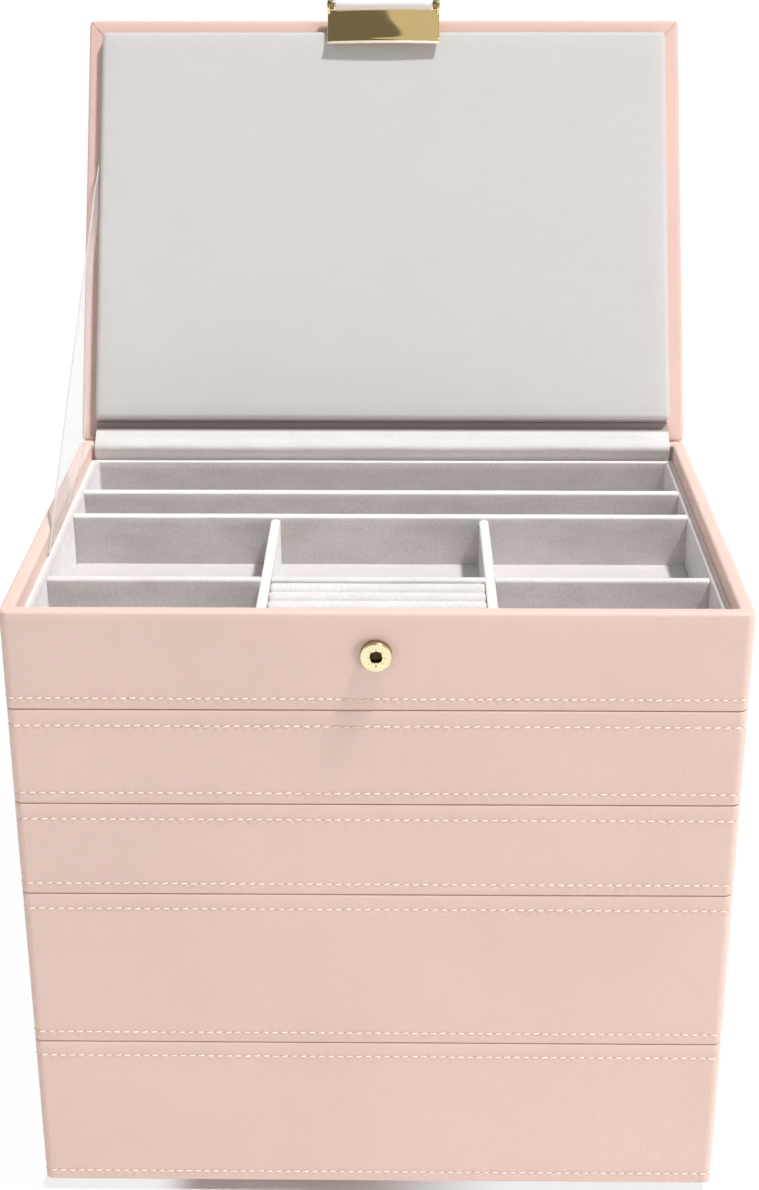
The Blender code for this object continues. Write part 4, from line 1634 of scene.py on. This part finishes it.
@dataclass
class HingeStrips:
    """The cloth strips that join the lid to the back wall, inside and outside."""

    hinge: Hinge
    wall: float = 0.005
    gap: float = 0.0003
    thickness: float = 0.0009
    lining_half_width: float = 0.1185
    lining_start: float = 0.0073
    lining_foot: float = -0.0066
    lining_slack: float = 0.00025
    spine_half_width: float = 0.121
    spine_reach: float = 0.012
    lid_reach: float = 0.0070
    shade_start: float = 0.0030
    shade_reach: float = 0.0008
    bend_start: tuple[float, float] = (-0.0030, -0.0010)
    bend_end: float = 0.0055

    def build(self) -> list[bpy.types.Object]:
        """Make both strips."""
        return [self.lining(), self.spine()]

    def lining(self) -> bpy.types.Object:
        """The velvet strip from under the pad, down the open lid, over the rear rim and into the well.

        Returns:
            The strip.
        """
        half = self.thickness / 2
        rim, inside = self.gap + half, -self.wall - self.gap - half
        path = [
            self.hinge.lid_point(self.lining_start, -half),
            self.hinge.lid_point(self.lining_start - 0.0020, -half),
            self.hinge.lid_point(0.0040, -half - 0.0012),
            (-0.0016, rim + 0.0022),
            (-0.0034, rim + 0.0008),
            (inside + 0.0002, rim - 0.0004),
            (inside - 0.0014, rim - 0.0018),
            (inside - 0.0010, rim - 0.0040),
            (inside - 0.0003, rim - 0.0052),
            (inside, self.lining_foot),
        ]
        surface = self._strip(path, self.lining_half_width, self.lining_slack)
        return self._bent(surface.build("hinge_velvet", LINING_VELVET, node="hinge_lining"))

    def spine(self) -> bpy.types.Object:
        """The hide strip behind: up the back wall, into the fold and out along the lid's rear edge.

        Returns:
            The strip.
        """
        out = self.gap + self.thickness / 2
        fold = math.radians(180 - self.hinge.open_degrees) / 2
        path = [
            (out, -self.spine_reach),
            (out, -self.spine_reach * 0.5),
            np.array([math.sin(fold), -math.cos(fold)]) * out / math.sin(fold),
            self.hinge.lid_point(-out, self.lid_reach * 0.5),
            self.hinge.lid_point(-out, self.lid_reach),
        ]
        surface = self._strip(path, self.spine_half_width)
        return self._bent(surface.build("hinge_hide", PLAIN_HIDE, node="hinge_spine"))

    def _strip(self, path: Sequence, half_width: float, slack: float = 0.0) -> Surface:
        """A strip along a rounded path.

        Args:
            path: the path's corners as (y, z) from the hinge line.
            half_width: half its width.
            slack: how far its waves rise.

        Returns:
            The strip's surface, with painted shade under the pad.
        """
        section = strip_section(round_path(path), self.thickness)
        stations, insets = rounded_stations(-half_width, half_width, self.thickness * 0.3, 0.008)

        def waves(x: Array, plane: Array) -> Array:
            """The cloth's slow waves, with none at its two glued ends.

            Args:
                x: the stations.
                plane: the section's points there, as (y, z).

            Returns:
                Each point's move in y and z.
            """
            level = plane[..., 1]
            free = np.clip((level + 0.0030) / 0.0020, 0, 1) * np.clip((0.0045 - level) / 0.0020, 0, 1)
            lift = ripple(x * 3.0, plane[..., 0] * 4.0, slack, 2.0) * free
            return np.stack([lift * -0.6, lift], -1)

        points, faces, maps = sweep_x(section, stations, insets, waves)
        up_lid = points[:, 1:] @ self.hinge.lid_point(1.0, 0.0)
        # Painted shade on the part of the strip that runs up the lid, under the pad.
        deep = np.clip((up_lid - self.shade_start) / self.shade_reach, 0, 1)
        return Surface().add(points + np.array(self.hinge.line), faces, maps, -deep)

    def _bent(self, obj: bpy.types.Object) -> bpy.types.Object:
        """Bake the transform of a strip that bends between the tray and the lid.

        Args:
            obj: the strip.

        Returns:
            The same strip.
        """
        end = self.hinge.line + Vector((0, *self.hinge.lid_point(self.bend_end, 0.0)))
        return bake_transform(obj)


@dataclass
class RibbonStay:
    """The sheer ribbon that stops the lid."""

    hinge: Hinge
    width: float = 0.012
    thickness: float = 0.0003
    head: float = 0.1155
    head_gap: float = 0.0002
    foot_y: float = -0.015
    foot_drop: float = 0.0062
    side: float = 0.11945
    twist: float = math.radians(33)
    bow: float = 0.0027
    sag: float = 0.0012
    curl: float = 0.00035
    steps: int = 90
    lanes: int = 8

    def build(self) -> list[bpy.types.Object]:
        """Make the ribbon: straight from foot to head, with a twist and a bow that are most near its foot.

        Returns:
            The ribbon, as the only piece.
        """
        foot = np.array([self.foot_y, self.hinge.line.z - self.foot_drop])
        line = np.array([self.hinge.line.y, self.hinge.line.z])
        head = line + self.hinge.lid_point(self.head, self.head_gap)
        length = float(np.linalg.norm(head - foot))
        points = self._points(foot, head)
        faces = grid_faces(self.steps + 1, self.lanes + 1)
        lengths = np.linspace(0, length, self.steps + 1)
        cloth = grid_map(lengths, np.linspace(0, self.width, self.lanes + 1))
        obj = Surface().add(points, [faces], {CLOTH_MAP: cloth}).build("ribbon", RIBBON, node="ribbon_stay")
        wall = obj.modifiers.new("cloth", "SOLIDIFY")
        wall.thickness = self.thickness
        wall.offset = 0
        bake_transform(obj)
        return [obj]

    def _points(self, foot: Array, head: Array) -> Array:
        """The ribbon's middle face: its cross lines turn to lie along the wall below and the lid above.

        Args:
            foot: the ribbon's foot as (y, z).
            head: its head, the same way.

        Returns:
            The points of a grid, row by row.
        """
        along = (head - foot) / np.linalg.norm(head - foot)
        t = np.linspace(0, 1, self.steps + 1)[:, None]
        s = np.linspace(-0.5, 0.5, self.lanes + 1)[None, :]
        foot_across = np.array([self.width / along[1], 0.0])
        head_across = -self.hinge.lid_point(1.0, 0.0) * self.width
        square = np.array([along[1], -along[0]]) * self.width
        near_foot = np.clip(1 - t / 0.12, 0, 1)[..., None]
        near_head = np.clip((t - 0.9) / 0.1, 0, 1)[..., None]
        across = square * (1 - near_foot) * (1 - near_head)
        across = across + foot_across * near_foot + head_across * near_head
        middle = foot + (head - foot) * t[..., None]
        plane = middle + across * s[..., None]
        plane[..., 1] -= np.sin(math.pi * t) * self.sag
        turn = np.sin(math.pi * t**0.58) ** 3
        twist = self.twist * turn
        plane = middle + (plane - middle) * np.cos(twist)[..., None]
        curl = self.curl * np.sin(math.pi * t) * np.cos(math.pi * s)
        x = -self.side + self.bow * turn + curl + self.width * s * np.sin(twist)
        return np.concatenate([x[..., None], plane], -1).reshape(-1, 3)


@dataclass
class Clasp:
    """The tab on the lid's free edge, the pin in its loop and the plated flap."""

    hinge: Hinge
    pin_reach: float = 0.18495
    pin_drop: float = 0.0065
    rest_turn: float = 83.0
    pin_radius: float = 0.0008
    pin_end: float = 0.0004
    pin_dome: float = 0.00055
    tab_half_width: float = 0.02025
    tab_thickness: float = 0.0013
    tab_edge: float = 0.00035
    tab_line: float = -0.18195
    tab_root: float = 0.0070
    loop_radius: float = 0.00175
    loop_sweep: float = -250
    plate_half_width: float = 0.0235
    plate_thickness: float = 0.0012
    plate_edge: float = 0.0004
    plate_back: float = 0.00145
    plate_top: float = 0.0027
    plate_bottom: float = 0.0176
    lip_radius: float = 0.0006
    lip_set: float = 0.0010
    knuckle: float = 0.0028
    knuckle_proud: float = 0.0001
    knuckle_edge: float = 0.0003
    bow: float = 0.0006
    swell: float = 0.00022
    cheek: float = 0.001
    cheek_edge: float = 0.00025
    cheek_depth: float = 0.0026
    cheek_reach: float = 0.0105
    ear_radius: float = 0.0018
    stud_sink: float = 0.0001
    stud_drop: float = 0.0085

    def to_world(self, points: Array) -> Array:
        """Points of the hanging flap, given from the pin, at their places on the open lid."""
        turn = np.array(Matrix.Rotation(math.radians(self.rest_turn), 3, "X"))
        return self.hinge.to_world(points @ turn.T + np.array([0, -self.pin_reach, -self.pin_drop]))

    def build(self) -> list[bpy.types.Object]:
        """Make the tab and the flap."""
        return [self.tab(), self.plate(), self.lip(), self.cheeks(), self.knuckles(), self.pin(), self.stud()]

    def tab(self) -> bpy.types.Object:
        """The tab: flat on the lid's edge, then once round the pin.

        Returns:
            The tab.
        """
        drop, reach, loop = self.pin_drop, self.pin_reach, self.loop_radius
        lead = round_path(
            [
                (self.tab_line, self.tab_root),
                (self.tab_line, 0.002),
                (self.tab_line, -drop * 0.3),
                (-reach + loop, -drop * 0.72),
                (-reach + loop, -drop),
            ]
        )
        wrap = quarter_turn((-reach, -drop), loop, 0, 28, self.loop_sweep)[1:]
        section = strip_section(np.concatenate([lead, wrap]), self.tab_thickness)
        half = self.tab_half_width
        points, faces, maps = sweep_x(section, *rounded_stations(-half, half, self.tab_edge, 0.004))
        surface = Surface().add(self.hinge.to_world(points), faces, maps)
        return surface.build("clasp_tab_hide", TAB_HIDE, Body.LID, "clasp_tab")

    def _bow(self, x: Array) -> Array:
        """How far the plate bows out at x: a parabola that falls to nothing at its sides."""
        return self.bow * (1 - (x / self.plate_half_width) ** 2)

    def plate(self) -> bpy.types.Object:
        """The flap's face: a bowed plate with a turned-out lip.

        Returns:
            The face.
        """
        middle = self.plate_back - self.plate_thickness / 2
        path = round_path(
            [
                (middle, -self.plate_top),
                (middle, -self.plate_top - 0.004),
                (middle, -self.plate_bottom + 0.0030),
                (middle - 0.0001, -self.plate_bottom + 0.0016),
                (middle - 0.0009, -self.plate_bottom),
            ]
        )
        section = strip_section(path, self.plate_thickness, 6)
        half = self.plate_half_width

        def bowed(x: Array, plane: Array) -> Array:
            """The bow, with the swell of a pressed sheet from top to bottom.

            Args:
                x: the stations.
                plane: the section's points there, as (y, z).

            Returns:
                Each point's move in y and z.
            """
            rise = (plane[..., 1] + self.plate_top) / (self.plate_top - self.plate_bottom)
            bend = self.swell * np.sin(np.clip(rise, 0, 1) * math.pi)
            return np.stack([-(self._bow(x) + bend), np.zeros_like(rise)], -1)

        stations = rounded_stations(-half, half, self.plate_edge, 0.0016, 5)
        points, faces, _ = sweep_x(section, *stations, bowed)
        surface = Surface().add(self.to_world(points), faces)
        return surface.build("flap_plate", MIRROR_PLATED, Body.CLASP, "clasp_plate")

    def lip(self) -> bpy.types.Object:
        """The brushed bead along the plate's lower edge, whose pale plating paints a highlight.

        Returns:
            The bead.
        """
        centre = (self.plate_back - self.plate_thickness / 2 - self.lip_set, -self.plate_bottom)
        half = self.plate_half_width

        def bowed(x: Array, plane: Array) -> Array:
            """The plate's own bow."""
            level = np.zeros_like(plane[..., 0])
            return np.stack([level - self._bow(x), level], -1)

        stations = rounded_stations(-half, half, self.lip_radius * 0.8, 0.0016, 4)
        points, faces, _ = sweep_x(circle(self.lip_radius, 16, centre), *stations, bowed)
        return Surface().add(self.to_world(points), faces).build("flap_lip", LIP_HIGHLIGHT_PLATED, Body.CLASP)

    def _pair(self, section: Array, reach: float, width: float, edge: float, step: float) -> Surface:
        """Two pieces of one section, one at each side of the flap.

        Args:
            section: the section as (y, z) from the pin.
            reach: how far from the middle their outer ends lie.
            width: how wide each is.
            edge: the radius of their ends.
            step: about how far apart their stations stand.

        Returns:
            The surface that holds both.
        """
        surface = Surface()
        for side in (-1, 1):
            low, high = sorted((side * reach, side * (reach - width)))
            points, faces, _ = sweep_x(section, *rounded_stations(low, high, edge, step))
            surface.add(self.to_world(points), faces)
        return surface

    def knuckles(self) -> bpy.types.Object:
        """The flap's two barrels round the pin, one at each side of the tab.

        Returns:
            Both barrels, as one piece.
        """
        barrel = circle(self.ear_radius + self.knuckle_proud, 28)
        reach = self.plate_half_width + self.knuckle_proud
        surface = self._pair(barrel, reach, self.knuckle, self.knuckle_edge, 0.0012)
        # The barrels' dark plating is a painted dark reflection.
        return surface.build("flap_knuckles", DARK_REFLECTION_PLATED, Body.CLASP)

    def cheeks(self) -> bpy.types.Object:
        """The flap's two turned-in sides, each with an ear round the pin.

        Returns:
            Both sides, as one piece.
        """
        front = self.plate_back - self.plate_thickness * 0.7
        back = self.plate_back - self.plate_thickness + self.cheek_depth
        ear = quarter_turn((0.0, 0.0), self.ear_radius, 0, 16, 180)
        outline = np.concatenate(
            [
                [(front, -self.cheek_reach), (back - 0.0006, -self.cheek_reach + 0.0016)],
                [(back, -self.cheek_reach + 0.0028), (back, -0.005), (self.ear_radius, -0.0022)],
                ear,
                [(-self.ear_radius, -0.0012), (-self.ear_radius * 0.7, -0.0030), (front, -0.0046)],
            ]
        )
        surface = self._pair(outline, self.plate_half_width, self.cheek, self.cheek_edge, 0.001)
        return surface.build("flap_cheeks", PLATED, Body.CLASP)

    def pin(self) -> bpy.types.Object:
        """The pin, with domed ends.

        Returns:
            The pin.
        """
        reach = self.plate_half_width + self.pin_end
        stations = rounded_stations(-reach, reach, self.pin_dome, 0.004, 4)
        points, faces, _ = sweep_x(circle(self.pin_radius, 24), *stations)
        surface = Surface().add(self.to_world(points), faces)
        return surface.build("flap_pin", PLATED, Body.CLASP, "clasp_pin")

    def stud(self) -> bpy.types.Object:
        """The flap's small stud: a turned profile with a waist and a rounded head.

        Returns:
            The stud.
        """
        waist = [(1.9, 0.0), (1.9, 0.3), (1.1, 0.4), (1.1, 0.6)]
        head = [(1.4, 0.8), (1.4, 0.95), (1.1, 1.2), (0.6, 1.32)]
        points, faces = turned(np.array(waist + head) * MM, 40)
        x, y, z = points.T
        points = np.stack([x, self.plate_back - self.stud_sink + z, -y - self.stud_drop], -1)
        surface = Surface().add(self.to_world(points), faces)
        return surface.build("flap_stud", PLATED, Body.CLASP, "clasp_stud")


@dataclass
class PressStud:
    """The plated socket on the front wall: a dished disc with a notched ring round its hole."""

    radius: float = 0.0053
    sides: int = 128
    slots: int = 8
    slot_depth: float = 0.00045
    hole_turn: float = math.radians(8)
    hole_corners: float = 0.16

    def build(self) -> list[bpy.types.Object]:
        """Make the socket, the band round it, whose dark plating paints a dark reflection, and the dark
        inside of its hole.

        Returns:
            The three pieces.
        """
        low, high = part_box("snap_disc")
        centre_x, centre_z = (low.x + high.x) / 2, (low.z + high.z) / 2
        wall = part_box("tray1_walls")[0].y
        face = wall - low.y
        made = []
        for name, profile, finish, node, ring in (
            ("press_stud", self._profile(face / MM), PALE_PLATED, "snap_disc", False),
            ("press_stud_band", self._band(face / MM), DARK_REFLECTION_PLATED, None, True),
            ("press_stud_well", self._well(face / MM), DARK_SOCKET, None, False),
        ):
            points, faces = turned(np.array(profile) * MM, self.sides, ring)
            x, y, z = self._slotted(points, face).T
            points = np.stack([x + centre_x, wall - z, y + centre_z], -1)
            made.append(Surface().add(points, faces).build(name, finish, Body.TRAY_1, node))
        return made

    def _band(self, face: float) -> list[tuple[float, float]]:
        """The band round the socket's side, in millimetres, whose dark plating paints a dark reflection."""
        r = self.radius / MM + 0.03
        return [(r - 0.3, -0.1), (r, 0.1), (r, face - 0.7), (r - 0.3, face - 0.6)]

    @staticmethod
    def _well(face: float) -> list[tuple[float, float]]:
        """The dark inside of the hole, in millimetres: a plug whose top lies low in it, its dark plating
        painting the shade in the hole over the socket's own dark cavity.
        """
        outside = [(1.2, face - 2.9), (2.05, face - 2.8), (1.98, face - 0.62), (1.80, face - 0.60)]
        return outside + [(1.72, face - 0.9), (1.60, face - 2.0), (0.8, face - 2.1)]

    def _profile(self, face: float) -> list[tuple[float, float]]:
        """From the foot of the rim, over its roll, down the dish and into the hole.

        Args:
            face: how far the face stands out from the wall, in millimetres.

        Returns:
            The (radius, height) points, in millimetres.
        """
        r = self.radius / MM
        foot = [(2.0, -0.2), (r - 0.4, -0.2), (r - 0.1, 0.1), (r, 0.6), (r, face - 0.75)]
        roll = [(r - 0.07, face - 0.45), (r - 0.22, face - 0.2), (r - 0.45, face - 0.05), (r - 0.75, face)]
        dish = [(r - 1.05, face - 0.03), (r - 1.4, face - 0.12), (3.3, face - 0.24), (2.8, face - 0.32)]
        ring = [(2.6, face - 0.35), (2.4, face - 0.36), (2.2, face - 0.38), (2.05, face - 0.44)]
        hole = [(1.95, face - 0.6), (1.9, face - 1.2), (1.85, face - 2.45), (0.9, face - 2.5)]
        return foot + roll + dish + ring + hole

    def _slotted(self, points: Array, face: float) -> Array:
        """The hole drawn to a rounded square, with a shallow slot off each side of it.

        A point near the hole moves out by how far its angle is towards a corner, and a point in a slot's
        angle sinks, most near the hole.

        Args:
            points: the turned points.
            face: the height of the socket's face, in metres.

        Returns:
            The points at their new places.
        """
        x, y, z = points.T
        angle, radius = np.arctan2(y, x), np.hypot(x, y)
        near = np.clip((0.0024 - radius) / 0.0006, 0, 1) * (radius > 0.0012)
        corner = 0.5 - 0.5 * np.cos(4 * (angle - self.hole_turn))
        grow = 1 + self.hole_corners * corner * near
        slot = np.clip((np.cos(self.slots * angle) - 0.80) / 0.12, 0, 1)
        reach = np.clip((0.0031 - radius) / 0.0003, 0, 1) * (radius > 0.0019) * (z > face - 0.0009)
        return np.stack([x * grow, y * grow, z - self.slot_depth * slot * reach], -1)


@dataclass
class Studio:
    """The floor, the light and the camera."""

    camera_place: tuple[float, float, float] = (0.0086, -0.6687, 0.4884)
    camera_down: float = 22.8907
    camera_turn: float = 0.7347
    camera_roll: float = -0.1213
    lens: float = 58.03
    key_from: tuple[float, float, float] = (0.36, -0.077, 0.93)
    key_angle: float = 6.0
    key_level: float = 1.09
    card_place: tuple[float, float, float] = (0.95, -1.0, 0.12)
    card_aim: tuple[float, float, float] = (0.0, 0.0, 0.12)
    card_size: float = 0.5
    card_power: float = 5.8
    horizon_level: float = 0.395
    sky_level: float = 0.28
    left_lift: float = 0.8
    horizon_height: tuple[float, float] = (0.26, 0.42)
    floor_half: float = 3.0
    floor_colour: tuple[float, float, float] = (0.73, 0.73, 0.73)
    box_half_x: float = 0.125
    box_half_y: float = 0.090

    def build(self) -> None:
        """Set the whole stage."""
        bpy.context.scene.view_settings.view_transform = "Standard"
        self.world()
        self.floor()
        self.key()
        self.card()
        self.camera()

    def camera(self) -> None:
        """The photograph's camera: turned, tipped down and rolled a hair."""
        data = bpy.data.cameras.new("camera")
        data.lens = self.lens
        camera = bpy.data.objects.new("camera", data)
        turn = Matrix.Rotation(math.radians(self.camera_turn), 4, "Z")
        tip = Matrix.Rotation(math.radians(90 - self.camera_down), 4, "X")
        roll = Matrix.Rotation(math.radians(self.camera_roll), 4, "Z")
        camera.matrix_world = Matrix.Translation(self.camera_place) @ turn @ tip @ roll
        bpy.context.scene.collection.objects.link(camera)
        bpy.context.scene.camera = camera

    @staticmethod
    def _lamp(data: bpy.types.Light, back: Vector) -> bpy.types.Object:
        """Add a lamp.

        Args:
            data: its light.
            back: the way from what it lights to the lamp.

        Returns:
            The lamp, at the origin.
        """
        lamp = bpy.data.objects.new(data.name, data)
        lamp.rotation_euler = back.to_track_quat("Z", "Y").to_euler()
        bpy.context.scene.collection.objects.link(lamp)
        return lamp

    def key(self) -> None:
        """The key lamp: a far disc, which gives key_level on a white face square to it."""
        data = bpy.data.lights.new("key", "SUN")
        data.angle = math.radians(self.key_angle)
        data.energy = self.key_level * math.pi
        self._lamp(data, Vector(self.key_from))

    def card(self) -> None:
        """A weak panel low at the right, which lifts the front a little towards that side."""
        data = bpy.data.lights.new("card", "AREA")
        data.size = self.card_size
        data.energy = self.card_power
        lamp = self._lamp(data, Vector(self.card_place) - Vector(self.card_aim))
        lamp.location = self.card_place
        lamp.visible_glossy = False

    def world(self) -> None:
        """A soft even sky. Polished metal sees a dark room with a bright panel, and the camera white."""
        world = bpy.data.worlds.new("studio")
        bpy.context.scene.world = world
        graph = Graph(world)
        x, _, z = graph.parts(graph.add("ShaderNodeTexCoord", output="Generated"))
        overhead = z.ramp(0.15, 0.62)
        edge = x + (z - 0.9) * 0.53
        right = edge.ramp(0.017, 0.024) * (1.0 - x.ramp(0.45, 0.7))
        room = 1.0 - overhead * 0.83 + overhead * right * 0.45
        rise = z.ramp(*self.horizon_height)
        left = (0.0 - x).ramp(0.05, 0.75)
        sky = self.horizon_level - rise * (self.horizon_level - self.sky_level)
        sky = sky * (left * self.left_lift + 1.0)
        glossy = graph.path("Is Glossy Ray")
        level = room * glossy + (1.0 - glossy) * sky
        lit, white = (
            graph.add("ShaderNodeBackground", inputs={"Color": (1, 1, 1, 1), "Strength": strength})
            for strength in (level, 1.0)
        )
        graph.finish(graph.blend(graph.path("Is Camera Ray"), lit, white), "ShaderNodeOutputWorld")

    def floor(self) -> None:
        """A wide white floor. Away from the box the camera sees it nearly without shadow."""
        mesh = bpy.data.meshes.new("floor")
        half = self.floor_half
        corners = [(-half, -half, 0), (half, -half, 0), (half, half, 0), (-half, half, 0)]
        mesh.from_pydata(corners, [], [(0, 1, 2, 3)])
        floor = bpy.data.objects.new("floor", mesh)
        material = bpy.data.materials.new("white_floor")
        graph = Graph(material)
        graph.finish(self._floor_shader(graph))
        mesh.materials.append(material)
        bpy.context.scene.collection.objects.link(floor)

    def _floor_shader(self, graph: Graph) -> Signal:
        """The floor's shader: lit near the box's foot, and glowing white for the camera elsewhere.

        Args:
            graph: the material's node tree.

        Returns:
            The shader's signal.
        """
        along, back, _ = graph.parts(graph.object_point())
        beside = (abs(along) - self.box_half_x).ramp(0.0, 0.002)
        off = abs(back) - self.box_half_y
        deep = along.ramp(-0.085, -0.066) * (1.0 - along.ramp(-0.015, 0.055))
        front = (0.0 - back).ramp(0.0, 0.01) * (1.0 - off.ramp(0.008, 0.03))
        before = off.ramp(0.0, 0.045) * 0.64 + 0.32 + front * (0.5 - deep * 0.76)
        away = (beside * 0.98).or_more(before)
        share = graph.path("Is Camera Ray") * away + graph.path("Is Glossy Ray") * 0.9
        colour = rgba(self.floor_colour)
        lit = graph.principled(Base_Color=colour, Roughness=0.9, Specular_IOR_Level=0.1)
        glow = graph.add("ShaderNodeEmission", inputs={"Color": (1, 1, 1, 1), "Strength": 1.0})
        return graph.blend(share, lit, glow)


def dress_frame(nodes: Mapping[str, bpy.types.Object]) -> None:
    """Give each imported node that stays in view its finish.

    Args:
        nodes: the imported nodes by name.
    """
    for name, obj in nodes.items():
        if name.endswith("floor_board"):
            finish: Finish = BOARD
        elif name.startswith("snap"):
            finish = PLATED
        else:
            finish = PLAIN_HIDE
        obj.data.materials.clear()
        obj.data.materials.append(finish.material())


def main() -> None:
    """Build the box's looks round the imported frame."""
    logging.basicConfig(level=logging.INFO, format="%(message)s")
    for obj in list(bpy.data.objects):
        bpy.data.objects.remove(obj)
    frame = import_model()
    Studio().build()
    dress_frame(frame["nodes"])
    rng = np.random.default_rng(11)
    line = next(joint["pos_m"] for joint in frame["joints"] if joint["name"] == "lid_hinge")
    hinge = Hinge(Vector(line))
    nodes = sorted(frame["nodes"])
    groups: list[Any] = [Tray(number, nodes, rng) for number in range(1, 6)]
    groups += [RingRolls(), Lid(hinge, rng), HingeStrips(hinge), RibbonStay(hinge), Clasp(hinge), PressStud()]
    for group in groups:
        for piece in group.build():
            LOG.info("%s: %d faces", piece.name, len(piece.data.polygons))


if __name__ == "__main__":
    main()
